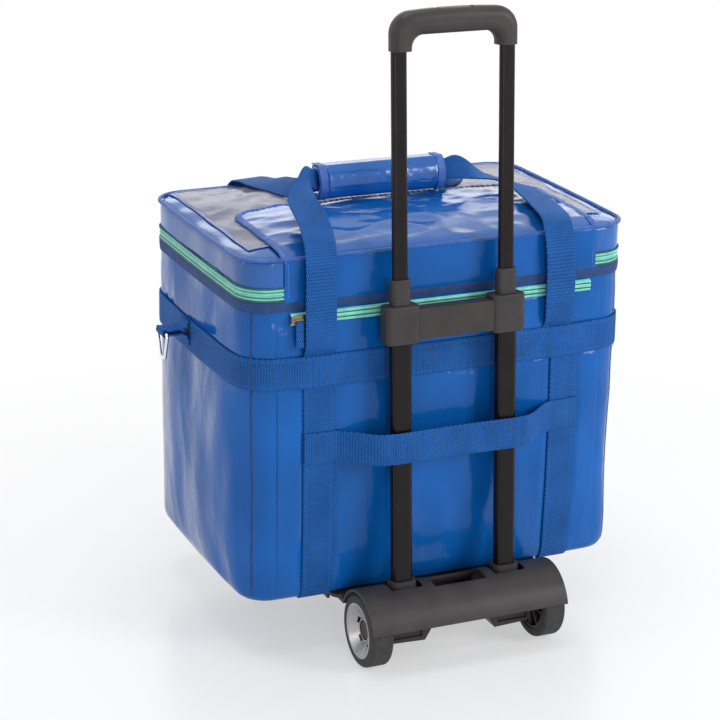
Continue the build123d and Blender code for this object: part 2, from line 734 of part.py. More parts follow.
def make_tubes():
    """Fixed tubes with their bracket, middle tubes with collars, and inner tubes."""
    outer_top = outer_tube_length
    lip_top = outer_top + collar_lip
    tubes = at_tubes(tube(0, 0, outer_top))
    save("outer_tubes", Compound(children=tubes))
    bracket_low = lip_top - bracket_height
    width, depth, _ = tube_section(0)
    side_wall = bracket_wall
    face_wall = 5.0
    block_shape = extrude(RectangleRounded(width + 2 * side_wall, depth + 2 * face_wall, 8), bracket_height)
    block_shape = fillet(block_shape.faces().sort_by(Axis.Z)[-1].edges(), 1.5)
    bracket = tube_frame() * (Pos(0, 0, bracket_low + 3) * extrude(
        RectangleRounded(tube_spacing, depth + 4, 3), bracket_height - 8
    ))
    for piece in at_tubes(Pos(0, 0, bracket_low) * block_shape):
        bracket += piece
    for piece in at_tubes(bar(tube_section(0), 0.1, bracket_low - 1, outer_top)):
        bracket -= piece
    for piece in at_tubes(bar(tube_section(1), tube_fit, outer_top - 1, lip_top + 1)):
        bracket -= piece
    save("tube_bracket", bracket)

    collar_low = lip_top + layer_gap
    collar_top = collar_low + collar_height
    mid_top = collar_top - collar_lip
    save("middle_tubes", Compound(children=at_tubes(tube(1, mid_tube_start, mid_top))))
    collar = bar(tube_section(1), 1.5, collar_low, collar_top)
    collar = fillet(collar.faces().sort_by(Axis.Z)[-1].edges(), 0.8)
    collar -= bar(tube_section(1), 0.1, collar_low - 1, mid_top)
    collar -= bar(tube_section(2), tube_fit, mid_top - 1, collar_top + 1)
    save("middle_collars", Compound(children=at_tubes(collar)))

    inner_low = mid_top - tube_overlap
    inner_top = handle_start + 15
    save("inner_tubes", Compound(children=at_tubes(tube(2, inner_low, inner_top))))
    width, depth, radius = tube_section(2)
    plug = bar(tube_section(2), -tube_wall - 0.1, inner_low, inner_low + 22)
    plug += bar(tube_section(2), 0, inner_low - 4, inner_low)
    plug -= bar((5, 4, 1.5), 0, inner_low + 6, inner_low + 23)
    save("inner_tube_plugs", Compound(children=at_tubes(plug)))
    return inner_low, inner_top


def make_handle(inner_low, inner_top):
    """Moulded handle with its button, yoke, rods and springs."""
    half = handle_half_width
    top = handle_start + handle_height
    arch = handle_start + handle_arch
    legs = half - socket_width
    outer = [
        Line((-half, handle_start), (-half, top - 4)),
        ThreePointArc((-half, top - 4), (0, top), (half, top - 4)),
        Line((half, top - 4), (half, handle_start)),
        Line((half, handle_start), (legs, handle_start)),
        Line((legs, handle_start), (legs, arch)),
        Line((legs, arch), (-legs, arch)),
        Line((-legs, arch), (-legs, handle_start)),
        Line((-legs, handle_start), (-half, handle_start)),
    ]
    face = make_face(Curve() + outer)
    tips = face.vertices().sort_by(Axis.Y)
    face = fillet(tips[-2:], handle_corner)
    bends = [v for v in face.vertices() if abs(v.Y - arch) < 0.1]
    face = fillet(bends, handle_bend)
    upright = Plane(origin=(0, 0, 0), x_dir=(1, 0, 0), z_dir=(0, -1, 0))
    shape = extrude(upright * face, handle_depth / 2, both=True)
    rims = [e for e in shape.edges() if abs(abs(e.center().Y) - handle_depth / 2) < 0.1]
    rims = [e for e in rims if e.center().Z > handle_start + 0.1]
    shape = fillet(rims, handle_round)
    floor = top - button_floor
    recess = Pos(0, 0, floor) * extrude(SlotOverall(button_length + 3, button_width + 3), 20)
    shape -= recess
    room_low = arch + 4
    room_high = floor - 4
    yoke_low = room_low + button_travel + 1
    yoke_high = yoke_low + 4
    reach = tube_spacing / 2 + 4
    shape -= block(-reach, reach, -6, 6, room_low, room_high)
    shape -= block(-17, 17, -4.5, 4.5, room_high - 1, floor + 1)
    for side in (-1, 1):
        at = Pos(side * tube_spacing / 2, 0, 0)
        shape -= at * bar(tube_section(2), 0.1, handle_start - 1, inner_top)
        shape -= at * Pos(0, 0, inner_top - 1) * extrude(RectangleRounded(7, 6, 2), room_low - inner_top + 2)
    save("trolley_handle", tube_frame() * shape)

    button_low = floor + button_travel + layer_gap
    button = Pos(0, 0, button_low) * extrude(SlotOverall(button_length, button_width), top - button_low - 0.5)
    button = fillet(button.faces().sort_by(Axis.Z)[-1].edges(), 1.6)
    button += block(-16, 16, -4, 4, yoke_high, button_low)
    save("release_button", tube_frame() * button)
    yoke = block(-reach + 1, reach - 1, -4.5, 4.5, yoke_low, yoke_high)
    for side in (-1, 1):
        rod_low = inner_low + 8 + button_travel
        rod = Pos(side * tube_spacing / 2, 0, rod_low) * extrude(Circle(1.5), yoke_low - rod_low)
        yoke += rod
    save("button_yoke", tube_frame() * yoke)
    springs = []
    for x in (-26, 26):
        coil_ring = Cylinder(3.6, yoke_low - room_low) - Cylinder(2.6, 20)
        springs.append(tube_frame() * Pos(x, 0, (yoke_low + room_low) / 2) * coil_ring)
    save("button_springs", Compound(children=springs))


inner_wall = make_body()
make_rim(inner_wall)
make_lid()
make_lid_top()
make_pockets()
make_main_sliders()
make_webbing()
make_loops()
make_side_rings()
make_housing()
make_platform()
make_wheels()
rod_from, rod_to = make_tubes()
make_handle(rod_from, rod_to)
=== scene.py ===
"""Cooler bag on a two-tube trolley: the look of its fabrics, webbing, plastics and metals."""
import bmesh
import bpy
import math
from mathutils import Matrix, Vector, noise
from mathutils.bvhtree import BVHTree


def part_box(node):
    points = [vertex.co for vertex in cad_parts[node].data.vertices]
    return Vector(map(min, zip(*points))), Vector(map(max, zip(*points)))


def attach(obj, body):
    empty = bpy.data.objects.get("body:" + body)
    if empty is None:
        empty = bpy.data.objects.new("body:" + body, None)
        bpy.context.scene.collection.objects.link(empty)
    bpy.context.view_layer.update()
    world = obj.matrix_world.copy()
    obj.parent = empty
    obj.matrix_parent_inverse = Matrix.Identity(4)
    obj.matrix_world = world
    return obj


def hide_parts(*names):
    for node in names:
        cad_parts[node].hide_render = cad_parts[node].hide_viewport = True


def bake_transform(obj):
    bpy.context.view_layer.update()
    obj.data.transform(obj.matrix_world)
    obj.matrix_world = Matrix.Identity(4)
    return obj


bl_info = {
    "name": "Cooler Bag Dressing",
    "version": (1, 0, 0),
    "blender": (4, 5, 0),
    "location": "View3D > Sidebar > Cooler Bag",
    "description": "Dresses the cooler bag and its trolley",
    "category": "Object",
}

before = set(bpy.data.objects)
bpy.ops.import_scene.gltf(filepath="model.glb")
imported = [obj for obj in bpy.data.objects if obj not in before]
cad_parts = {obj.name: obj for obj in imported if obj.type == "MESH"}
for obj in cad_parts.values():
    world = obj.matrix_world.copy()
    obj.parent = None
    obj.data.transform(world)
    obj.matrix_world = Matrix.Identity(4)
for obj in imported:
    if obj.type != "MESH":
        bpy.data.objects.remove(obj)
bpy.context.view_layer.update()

# Places read from the frame, and the bag's own form, in metres
RIM_BOW = 0.002
LID_LOW, LID_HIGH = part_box("lid_shell")
SHELL_LOW, SHELL_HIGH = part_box("bag_shell")
HALF_X = LID_HIGH.x - RIM_BOW
HALF_Y = (LID_HIGH.y - LID_LOW.y) / 2 - RIM_BOW
CENTRE_Y = (LID_HIGH.y + LID_LOW.y) / 2
REAR_Y = CENTRE_Y - HALF_Y
FRONT_Y = CENTRE_Y + HALF_Y
CORNER = 0.036
BOTTOM_Z = SHELL_LOW.z
RIM_Z = SHELL_HIGH.z
BAND_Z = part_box("rim_binding")[1].z
LID_Z = LID_LOW.z
EDGE_Z = sum(corner.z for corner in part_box("lid_piping")) / 2
ZIP_Z = (BAND_Z + LID_Z) / 2
SEAM_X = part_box("rear_wall_panel")[1].x
BELLY_Z = BOTTOM_Z + 0.175
BELLY_LONG = 0.012
BELLY_SHORT = 0.008
BOTTOM_BOW = 0.004
BELT_LOW, BELT_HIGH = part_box("belt_webbing")
BELT_Z = (BELT_LOW.z + BELT_HIGH.z) / 2
SLEEVE_LOW, SLEEVE_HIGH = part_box("trolley_strap")
STRAP_LOW, STRAP_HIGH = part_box("vertical_strap_right")
STRAP_X = (STRAP_LOW.x + STRAP_HIGH.x) / 2
WEB_WIDTH = STRAP_HIGH.x - STRAP_LOW.x
WRAP_LOW, WRAP_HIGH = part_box("carry_wrap")
LOOP_FOOT_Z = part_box("front_carry_loop")[0].z
UP = Vector((0, 0, 1))
ACROSS = Vector((1, 0, 0))
TO_FRONT = Vector((0, 1, 0))

# Weave, stitches and padding, with their lengths in metres
COLUMN_PITCH = 0.0029
ROW_PITCH = 0.0023
SELVEDGE_INSET = 0.0014
SELVEDGE_HALF = 0.00035
STITCH_INSET = 0.0038
STITCH_HALF = 0.00055
STITCHES_PER_METRE = 260.0
ZIP_GROOVE = 0.0027
ZIP_GROOVE_HALF = 0.00075
COIL_STITCHES_PER_METRE = 520.0
LINING_DEPTH = 0.0165
STRAP_THICK = 0.0019
SHARP_ANGLE = math.radians(50)
PADDING_CAP = 0.004
PADDING_STEPS = 20


class FabricLook(bpy.types.PropertyGroup):
    """Colours and sizes of the bag's fabrics."""

    skin_blue: bpy.props.FloatVectorProperty(
        name="Skin blue", description="Colour of the coated fabric", subtype="COLOR",
        size=3, default=(0.004, 0.110, 0.42), min=0, max=1,
    )
    webbing_blue: bpy.props.FloatVectorProperty(
        name="Webbing blue", description="Colour of the webbing", subtype="COLOR",
        size=3, default=(0.008, 0.064, 0.225), min=0, max=1,
    )
    binding_blue: bpy.props.FloatVectorProperty(
        name="Binding blue", description="Colour of the rim tape", subtype="COLOR",
        size=3, default=(0.008, 0.048, 0.18), min=0, max=1,
    )
    zip_green: bpy.props.FloatVectorProperty(
        name="Zip turquoise", description="Colour of the zips", subtype="COLOR",
        size=3, default=(0.20, 0.68, 0.56), min=0, max=1,
    )
    trim_blue: bpy.props.FloatVectorProperty(
        name="Trim blue", description="Colour of the piping and the bound edges", subtype="COLOR",
        size=3, default=(0.030, 0.115, 0.42), min=0, max=1,
    )
    lining_white: bpy.props.FloatVectorProperty(
        name="Lining", description="Colour inside the bag", subtype="COLOR",
        size=3, default=(0.72, 0.74, 0.76), min=0, max=1,
    )
    crease: bpy.props.FloatProperty(
        name="Crease height", description="How far creases stand out of the skin",
        unit="LENGTH", default=0.0021, min=0, max=0.01,
    )
    voxel: bpy.props.FloatProperty(
        name="Cloth cell", description="Cell size of the padded pieces",
        unit="LENGTH", default=0.0065, min=0.002, max=0.02,
    )
    pressure: bpy.props.FloatProperty(
        name="Padding pressure", description="Pressure that fills the padded pieces",
        default=4.0, min=0, max=20,
    )
    webbing_thick: bpy.props.FloatProperty(
        name="Webbing thickness", description="Thickness of the webbing",
        unit="LENGTH", default=0.0020, min=0.0005, max=0.005,
    )


class TrolleyLook(bpy.types.PropertyGroup):
    """Colours of the trolley."""

    plastic: bpy.props.FloatVectorProperty(
        name="Plastic", description="Colour of the moulded parts", subtype="COLOR",
        size=3, default=(0.041, 0.037, 0.036), min=0, max=1,
    )
    tube: bpy.props.FloatVectorProperty(
        name="Tube", description="Colour of the coated tubes", subtype="COLOR",
        size=3, default=(0.007, 0.004, 0.005), min=0, max=1,
    )
    rim: bpy.props.FloatVectorProperty(
        name="Wheel dish", description="Colour of the wheel's dish", subtype="COLOR",
        size=3, default=(0.42, 0.41, 0.41), min=0, max=1,
    )


class StageLook(bpy.types.PropertyGroup):
    """Camera, floor and light."""

    lens: bpy.props.FloatProperty(
        name="Lens", description="Focal length of the camera", unit="CAMERA",
        default=113.3, min=10, max=400,
    )
    azimuth: bpy.props.FloatProperty(
        name="Azimuth", description="Turn of the camera round the bag", subtype="ANGLE",
        default=math.radians(-23.878),
    )
    elevation: bpy.props.FloatProperty(
        name="Elevation", description="Camera's angle above the horizon", subtype="ANGLE",
        default=math.radians(18.817),
    )
    roll: bpy.props.FloatProperty(
        name="Roll", description="Lean of the picture", subtype="ANGLE",
        default=math.radians(0.864),
    )
    distance: bpy.props.FloatProperty(
        name="Distance", description="From the camera to its target", unit="LENGTH",
        default=2.8176, min=0.1,
    )
    aside: bpy.props.FloatProperty(
        name="Aside", description="Camera's shift to the left", unit="LENGTH", default=0.0344,
    )
    above: bpy.props.FloatProperty(
        name="Above", description="Camera's shift upward", unit="LENGTH", default=0.0279,
    )
    floor: bpy.props.FloatVectorProperty(
        name="Floor", description="Colour of the floor", subtype="COLOR",
        size=3, default=(0.86, 0.86, 0.87), min=0, max=1,
    )


# Shader helpers

def add_node(tree, kind, **inputs):
    """New node; inputs are given by name with underscores for spaces, links as sockets."""
    node = tree.nodes.new(kind)
    for key, value in inputs.items():
        socket = node.inputs[key.replace("_", " ")]
        if isinstance(value, bpy.types.NodeSocket):
            tree.links.new(value, socket)
        else:
            socket.default_value = value
    return node


def maths(tree, operation, first, second=0.0):
    """Result of a Math node."""
    node = tree.nodes.new("ShaderNodeMath")
    node.operation = operation
    for index, value in enumerate((first, second)):
        if isinstance(value, bpy.types.NodeSocket):
            tree.links.new(value, node.inputs[index])
        else:
            node.inputs[index].default_value = value
    return node.outputs[0]


def times(tree, first, second):
    """Product of two values."""
    return maths(tree, "MULTIPLY", first, second)


def plus(tree, first, second):
    """Sum of two values."""
    return maths(tree, "ADD", first, second)


def away_from(tree, value, middle):
    """Distance of a value from a middle."""
    return maths(tree, "ABSOLUTE", maths(tree, "SUBTRACT", value, middle))


def under(tree, value, limit):
    """One where a value is under a limit."""
    return maths(tree, "LESS_THAN", value, limit)


def hump(tree, value):
    """Half a sine wave over each whole number."""
    return maths(tree, "SINE", times(tree, maths(tree, "FRACT", value), math.pi))


def dashes(tree, along, per_metre, share):
    """One on a share of each stitch's length."""
    return under(tree, maths(tree, "FRACT", times(tree, along, per_metre)), share)


def own_map(tree):
    """Ways along and across a piece on its own map, in metres."""
    flat = tree.nodes.new("ShaderNodeUVMap").outputs[0]
    source = add_node(tree, "ShaderNodeSeparateXYZ", Vector=flat)
    return source.outputs[0], source.outputs[1]


def shaded(colour, factor):
    """A colour made lighter or darker, with full alpha."""
    return [min(1.0, part * factor) for part in colour[:3]] + [1.0]


def new_material(name, roughness, metallic=0.0, **sockets):
    """Material with its shader's plain sockets set."""
    material = bpy.data.materials.new(name)
    material.use_nodes = True
    shader = material.node_tree.nodes["Principled BSDF"]
    shader.inputs["Roughness"].default_value = roughness
    shader.inputs["Metallic"].default_value = metallic
    for key, value in sockets.items():
        shader.inputs[key.replace("_", " ")].default_value = value
    return material, material.node_tree, shader


def object_place(tree, stretch=(1, 1, 1)):
    """Object coordinates, stretched by a Mapping node."""
    source = tree.nodes.new("ShaderNodeTexCoord").outputs["Object"]
    mapping = add_node(tree, "ShaderNodeMapping", Vector=source, Scale=stretch)
    return mapping.outputs["Vector"]


def noise_field(tree, place, scale, detail=3.0, rough=0.5):
    """Noise texture's factor."""
    node = add_node(
        tree, "ShaderNodeTexNoise", Vector=place, Scale=scale, Detail=detail, Roughness=rough
    )
    return node.outputs[0]


def tint(tree, factor, dark, light, low=0.3, high=0.7):
    """Colour ramp between two colours."""
    ramp = add_node(tree, "ShaderNodeValToRGB", Fac=factor)
    ramp.color_ramp.elements[0].position = low
    ramp.color_ramp.elements[0].color = dark
    ramp.color_ramp.elements[1].position = high
    ramp.color_ramp.elements[1].color = light
    return ramp.outputs["Color"]


def spread(tree, value, low, high):
    """A factor from nought to one, spread between two values."""
    node = add_node(tree, "ShaderNodeMapRange", Value=value, To_Min=low, To_Max=high)
    return node.outputs["Result"]


def mixed(tree, factor, first, second):
    """Two colours mixed by a factor."""
    mix = add_node(tree, "ShaderNodeMix")
    mix.data_type = "RGBA"
    tree.links.new(factor, mix.inputs[0])
    for socket, value in ((mix.inputs[6], first), (mix.inputs[7], second)):
        if isinstance(value, bpy.types.NodeSocket):
            tree.links.new(value, socket)
        else:
            socket.default_value = value
    return mix.outputs[2]


def bump(tree, height, strength, distance, below=None):
    """Bump normal, on top of another one where given."""
    node = add_node(tree, "ShaderNodeBump", Height=height, Strength=strength, Distance=distance)
    if below is not None:
        tree.links.new(below, node.inputs["Normal"])
    return node.outputs["Normal"]


def connect(tree, shader, colour=None, normal=None, roughness=None):
    """Links what varies over the surface to the shader."""
    for key, socket in (("Base Color", colour), ("Normal", normal), ("Roughness", roughness)):
        if socket is not None:
            tree.links.new(socket, shader.inputs[key])


# Materials

def coated_fabric(name, colour, roughness=0.08, crinkle=1.0, shine=0.22):
    """Glossy coated fabric: soft dents, fine creases and the weave under the coating."""
    material, tree, shader = new_material(name, roughness, Specular_IOR_Level=shine)
    place = object_place(tree)
    clouds = noise_field(tree, place, 9.0, 2.0)
    grime = noise_field(tree, place, 60.0, 4.0)
    hue = tint(tree, clouds, shaded(colour, 0.82), shaded(colour, 1.12))
    dents = noise_field(tree, object_place(tree, (1, 1, 0.6)), 11.0, 1.0, 0.4)
    creases = noise_field(tree, object_place(tree, (1, 1, 0.55)), 26.0, 4.0, 0.6)
    ridges = maths(tree, "ABSOLUTE", maths(tree, "SUBTRACT", creases, 0.5))
    weave = add_node(tree, "ShaderNodeTexWave", Vector=place, Scale=330.0)
    weave.bands_direction = "DIAGONAL"
    normal = bump(tree, dents, 1.0 * crinkle, 0.016)
    normal = bump(tree, ridges, 0.55 * crinkle, 0.0030, normal)
    normal = bump(tree, weave.outputs[0], 0.04, 0.0002, normal)
    connect(tree, shader, hue, normal, spread(tree, grime, roughness * 0.7, roughness * 1.6))
    return material


def webbing_material(name, colour, stitched=False):
    """Woven webbing on its own map: u runs along the strap and v across it, in metres."""
    material, tree, shader = new_material(
        name, 0.6, Sheen_Weight=0.06, Sheen_Roughness=0.4, Specular_IOR_Level=0.15
    )
    shader.inputs["Sheen Tint"].default_value = shaded(colour, 2.0)
    along, across = own_map(tree)
    column = times(tree, along, 1 / COLUMN_PITCH)
    shift = times(tree, maths(tree, "FLOOR", column), 0.5)
    row = plus(tree, times(tree, across, 1 / ROW_PITCH), shift)
    weave = times(tree, maths(tree, "POWER", hump(tree, column), 0.5), hump(tree, row))
    place = object_place(tree)
    wear = noise_field(tree, place, 26.0, 3.0)
    speckle = noise_field(tree, place, 640.0, 2.0)
    loose = plus(tree, times(tree, speckle, 0.4), times(tree, wear, 0.35))
    # Painted light: the weave's raised cells are coloured lighter and its grooves darker; speckle and wear
    # add random tone on top.
    painted_weave_light_and_wear = plus(tree, times(tree, weave, 0.55), loose)
    hue = tint(tree, painted_weave_light_and_wear, shaded(colour, 0.55), shaded(colour, 2.6), 0.35, 1.15)
    aside = away_from(tree, across, WEB_WIDTH / 2)
    edge = away_from(tree, aside, WEB_WIDTH / 2 - SELVEDGE_INSET)
    hue = mixed(tree, under(tree, edge, SELVEDGE_HALF), hue, shaded(colour, 1.5))
    normal = bump(tree, weave, 0.8, 0.0006)
    normal = bump(tree, wear, 0.25, 0.002, normal)
    if stitched:
        line = under(tree, away_from(tree, aside, WEB_WIDTH / 2 - STITCH_INSET), STITCH_HALF)
        stitch = times(tree, line, dashes(tree, along, STITCHES_PER_METRE, 0.72))
        hue = mixed(tree, stitch, hue, shaded(colour, 2.3))
        normal = bump(tree, maths(tree, "SUBTRACT", 1.0, stitch), 0.8, 0.0006, normal)
    connect(tree, shader, hue, normal)
    return material


def zip_material(name, colour):
    """Woven zip tape on its own map; the groove beside the coil is darkened as painted shade, darker still
    at the dotted stitches.
    """
    material, tree, shader = new_material(name, 0.32)
    along, across = own_map(tree)
    groove = under(tree, away_from(tree, across, ZIP_GROOVE), ZIP_GROOVE_HALF)
    dots = dashes(tree, along, COIL_STITCHES_PER_METRE, 0.55)
    # Painted shade: the whole groove between coil and tape ridge is darkened, and the stitch dots darker
    # still.
    groove_painted_shade = times(tree, groove, plus(tree, times(tree, dots, 0.45), 0.5))
    ribs = maths(tree, "SINE", times(tree, along, 6900.0))
    clouds = noise_field(tree, object_place(tree), 90.0, 3.0)
    hue = tint(tree, clouds, shaded(colour, 0.85), shaded(colour, 1.2))
    hue = mixed(tree, groove_painted_shade, hue, shaded(colour, 0.16))
    normal = bump(tree, ribs, 0.3, 0.0002)
    connect(tree, shader, hue, bump(tree, maths(tree, "SUBTRACT", 1.0, groove_painted_shade), 0.5, 0.0004, normal))
    return material


def tape_material(name, colour, rough=0.7, rib=5200.0):
    """Woven tape with ribs across it, on its own map."""
    material, tree, shader = new_material(name, rough)
    along, across = own_map(tree)
    ribs = maths(tree, "SINE", times(tree, along, rib))
    rows = maths(tree, "SINE", times(tree, across, rib * 0.7))
    weave = plus(tree, ribs, rows)
    clouds = noise_field(tree, object_place(tree), 90.0, 3.0)
    hue = tint(tree, clouds, shaded(colour, 0.78), shaded(colour, 1.25))
    connect(tree, shader, hue, bump(tree, weave, 0.4, 0.0002))
    return material


def plastic_material(name, colour, rough=0.42):
    """Moulded plastic with a fine grain and faint cloudiness."""
    material, tree, shader = new_material(name, rough, Specular_IOR_Level=0.25)
    place = object_place(tree)
    clouds = noise_field(tree, place, 34.0, 4.0)
    fine = noise_field(tree, place, 1500.0, 2.0)
    hue = tint(tree, clouds, shaded(colour, 0.85), shaded(colour, 1.18))
    normal = bump(tree, fine, 0.18, 0.00025)
    normal = bump(tree, clouds, 0.08, 0.002, normal)
    connect(tree, shader, hue, normal, spread(tree, clouds, rough * 0.85, rough * 1.2))
    return material


def tube_material(name, colour):
    """Coated tube with faint lines along its length."""
    material, tree, shader = new_material(name, 0.22, Specular_IOR_Level=0.22)
    lines = noise_field(tree, object_place(tree, (1800, 1800, 6)), 1.0, 2.0)
    scuffs = noise_field(tree, object_place(tree), 55.0, 5.0)
    hue = tint(tree, scuffs, shaded(colour, 0.85), shaded(colour, 1.35))
    connect(tree, shader, hue, bump(tree, lines, 0.12, 0.0002), spread(tree, scuffs, 0.18, 0.34))
    return material


def metal_material(name, colour, rough, metallic=1.0):
    """Bare or plated metal with fine marks."""
    material, tree, shader = new_material(name, rough, metallic)
    marks = noise_field(tree, object_place(tree, (400, 400, 400)), 1.0, 3.0)
    hue = tint(tree, marks, shaded(colour, 0.88), shaded(colour, 1.06))
    wear = spread(tree, marks, rough * 0.7, rough * 1.4)
    connect(tree, shader, hue, bump(tree, marks, 0.08, 0.0002), wear)
    return material


def rubber_material(name):
    """Matte black rubber."""
    material, tree, shader = new_material(name, 0.7)
    place = object_place(tree)
    dust = noise_field(tree, place, 120.0, 5.0)
    fine = noise_field(tree, place, 900.0, 2.0)
    hue = tint(tree, dust, (0.016, 0.016, 0.017, 1), (0.045, 0.043, 0.042, 1))
    connect(tree, shader, hue, bump(tree, fine, 0.3, 0.0003), spread(tree, dust, 0.6, 0.85))
    return material


def film_material(name):
    """Clear flexible film with soft waves, its tint lighter on their crests as painted reflection."""
    material, tree, shader = new_material(name, 0.14, Alpha=0.62, Specular_IOR_Level=0.12)
    place = object_place(tree)
    waves_and_reflection = noise_field(tree, place, 22.0, 3.0, 0.55)
    # Painted reflection: the film's tint runs lighter on the crests of its waves.
    hue = tint(tree, waves_and_reflection, (0.26, 0.27, 0.37, 1), (0.42, 0.42, 0.52, 1))
    connect(tree, shader, hue, bump(tree, waves_and_reflection, 0.6, 0.004))
    material.surface_render_method = "BLENDED"
    return material


def lining_material(name, colour):
    """Smooth pale lining, slightly quilted."""
    material, tree, shader = new_material(name, 0.38, Coat_Weight=0.2)
    place = object_place(tree)
    folds = noise_field(tree, place, 24.0, 3.0)
    fine = noise_field(tree, place, 500.0, 2.0)
    hue = tint(tree, folds, shaded(colour, 0.92), shaded(colour, 1.04))
    normal = bump(tree, folds, 0.5, 0.004)
    connect(tree, shader, hue, bump(tree, fine, 0.15, 0.0003, normal))
    return material


MATERIALS = {}


def make_materials(scene):
    """Every finish, by the name used below."""
    fabric = scene.cooler_fabric
    trolley = scene.cooler_trolley
    MATERIALS.update(
        skin=coated_fabric("blue_coated_fabric", fabric.skin_blue),
        lid=coated_fabric("blue_lid_fabric", fabric.skin_blue, 0.13, 0.5, 0.6),
        webbing=webbing_material("blue_webbing", fabric.webbing_blue),
        sewn=webbing_material("blue_webbing_sewn", fabric.webbing_blue, True),
        binding=tape_material("navy_binding", fabric.binding_blue),
        zip_tape=zip_material("turquoise_zip_tape", fabric.zip_green),
        trim=tape_material("blue_trim_tape", fabric.trim_blue, 0.45),
        # Painted shade: near-black zip colour for the cords along the zip's edges.
        hem=tape_material("dark_zip_hem", shaded(fabric.zip_green, 0.16), 0.6),
        thread=tape_material("seam_thread", (0.12, 0.26, 0.62), 0.5),
        film=film_material("clear_film"),
        film_edge=tape_material("welded_film_edge", (0.16, 0.22, 0.48), 0.35),
        lining=lining_material("pale_lining", fabric.lining_white),
        plastic=plastic_material("trolley_plastic", trolley.plastic),
        button=plastic_material("button_plastic", shaded(trolley.plastic, 2.4), 0.5),
        tube=tube_material("coated_tube", trolley.tube),
        rim=metal_material("wheel_dish_silver", trolley.rim, 0.32, 0.85),
        chrome=metal_material("ring_chrome", (0.80, 0.80, 0.80), 0.10),
        steel=metal_material("bare_steel", (0.55, 0.55, 0.56), 0.30),
        bronze=metal_material("slider_bronze", (0.30, 0.22, 0.13), 0.30),
        rubber=rubber_material("black_rubber"),
    )


# Mesh helpers

def limited(value):
    """A value held between nought and one."""
    return min(1.0, max(0.0, value))


def in_scene(name, data):
    """New object in the scene."""
    piece = bpy.data.objects.new(name, data)
    bpy.context.scene.collection.objects.link(piece)
    return piece


def rounded(bm, edges, radius, segments):
    """Bevels edges to round ones."""
    bmesh.ops.bevel(
        bm, geom=edges, offset=radius, segments=segments, profile=0.5, affect="EDGES", material=-1
    )


def keep(bm, name, material, body, replaces=(), slot=None):
    """Turns a bmesh into a piece of the object."""
    mesh = bpy.data.meshes.new(name)
    for face in bm.faces:
        face.smooth = True
    bm.to_mesh(mesh)
    bm.free()
    piece = in_scene(name, mesh)
    mesh.materials.append(MATERIALS[material])
    if body:
        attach(piece, body)
    if replaces:
        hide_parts(*replaces)
    return piece


def surface(along, across, place, size, thickness=0.0, closed=False, bevel=0.0005):
    """Strip or sheet from a grid: place(u, v) gives each point, size the map's metres."""
    bm = bmesh.new()
    layer = bm.loops.layers.uv.new("UVMap")
    bmesh.ops.create_grid(bm, x_segments=along, y_segments=across, size=0.5)
    for face in bm.faces:
        for loop in face.loops:
            loop[layer].uv = ((loop.vert.co.x + 0.5) * size[0], (loop.vert.co.y + 0.5) * size[1])
    for vert in bm.verts:
        vert.co = place(vert.co.x + 0.5, vert.co.y + 0.5)
    if closed:
        bmesh.ops.remove_doubles(bm, verts=bm.verts, dist=0.00002)
    bm.normal_update()
    if thickness:
        for vert in bm.verts:
            vert.co += vert.normal * (thickness / 2)
        bmesh.ops.solidify(bm, geom=bm.faces[:], thickness=thickness)
        bmesh.ops.recalc_face_normals(bm, faces=bm.faces[:])
        soften(bm, bevel)
    return bm


def soften(bm, offset):
    """Rounds the sharp edges."""
    sharp = [e for e in bm.edges if len(e.link_faces) == 2 and e.calc_face_angle() > SHARP_ANGLE]
    rounded(bm, sharp, offset, 2)


def loop_place(share, grow=0.0, bow=RIM_BOW):
    """Point and outward direction at a share of the way round the bag's plan, from the rear's left."""
    half_x, half_y, radius = HALF_X + grow, HALF_Y + grow, CORNER + grow
    run_x, run_y, turn = 2 * (half_x - radius), 2 * (half_y - radius), math.pi * radius / 2
    way = (share % 1.0) * 2 * (run_x + run_y + 2 * turn)
    heading = Vector((1, 0))
    out = Vector((0, -1))
    at = Vector((-half_x + radius, -half_y))
    for run in (run_x, run_y, run_x, run_y):
        if way <= run:
            at = at + heading * way
            break
        way -= run
        at = at + heading * run
        if way <= turn:
            angle = way / radius
            centre = at - out * radius
            out = out * math.cos(angle) + heading * math.sin(angle)
            at = centre + out * radius
            break
        way -= turn
        at = at - out * radius + heading * radius
        heading, out = -out, heading
    push_y = bow * (1 - (at.x / half_x) ** 2) * (at.y / half_y)
    push_x = bow * (1 - (at.y / half_y) ** 2) * (at.x / half_x)
    return Vector((at.x + push_x, at.y + push_y + CENTRE_Y, 0)), Vector((out.x, out.y, 0))


def loop_length():
    """Length round the bag's plan."""
    return 4 * (HALF_X + HALF_Y - 2 * CORNER) + 2 * math.pi * CORNER


def share_at(x):
    """Share of the way round at a place along the rear side."""
    return (x + HALF_X - CORNER) / loop_length()


def bow_at(z, belly):
    """How far the middle of a side bows out at a height."""
    low, mid, high = BOTTOM_Z, BELLY_Z, RIM_Z
    to_low = (z - mid) * (z - high) / ((low - mid) * (low - high))
    to_mid = (z - low) * (z - high) / ((mid - low) * (mid - high))
    to_high = (z - low) * (z - mid) / ((high - low) * (high - mid))
    return BOTTOM_BOW * to_low + belly * to_mid + RIM_BOW * to_high


def bowed(place):
    """A point of the plain box moved to the bag's bowed form."""
    z = min(max(place.z, BOTTOM_Z), RIM_Z)
    x, y = place.x / HALF_X, (place.y - CENTRE_Y) / HALF_Y
    out_y = bow_at(z, BELLY_LONG) * (1 - min(1, x * x)) * y
    out_x = bow_at(z, BELLY_SHORT) * (1 - min(1, y * y)) * x
    return Vector((place.x + out_x, place.y + out_y, place.z))


def crease(place, size, seed=0.0):
    """Height of a soft fold at a place, about minus one to one."""
    at = Vector((place.x, place.y, place.z * 0.45)) / size + Vector((seed, 1.7 * seed, 0))
    swell = noise.noise(at * 0.5)
    ridge = 1 - 2.2 * abs(noise.noise(at * 1.1 + Vector((9, 2, 4))))
    return 0.6 * swell + 0.4 * ridge


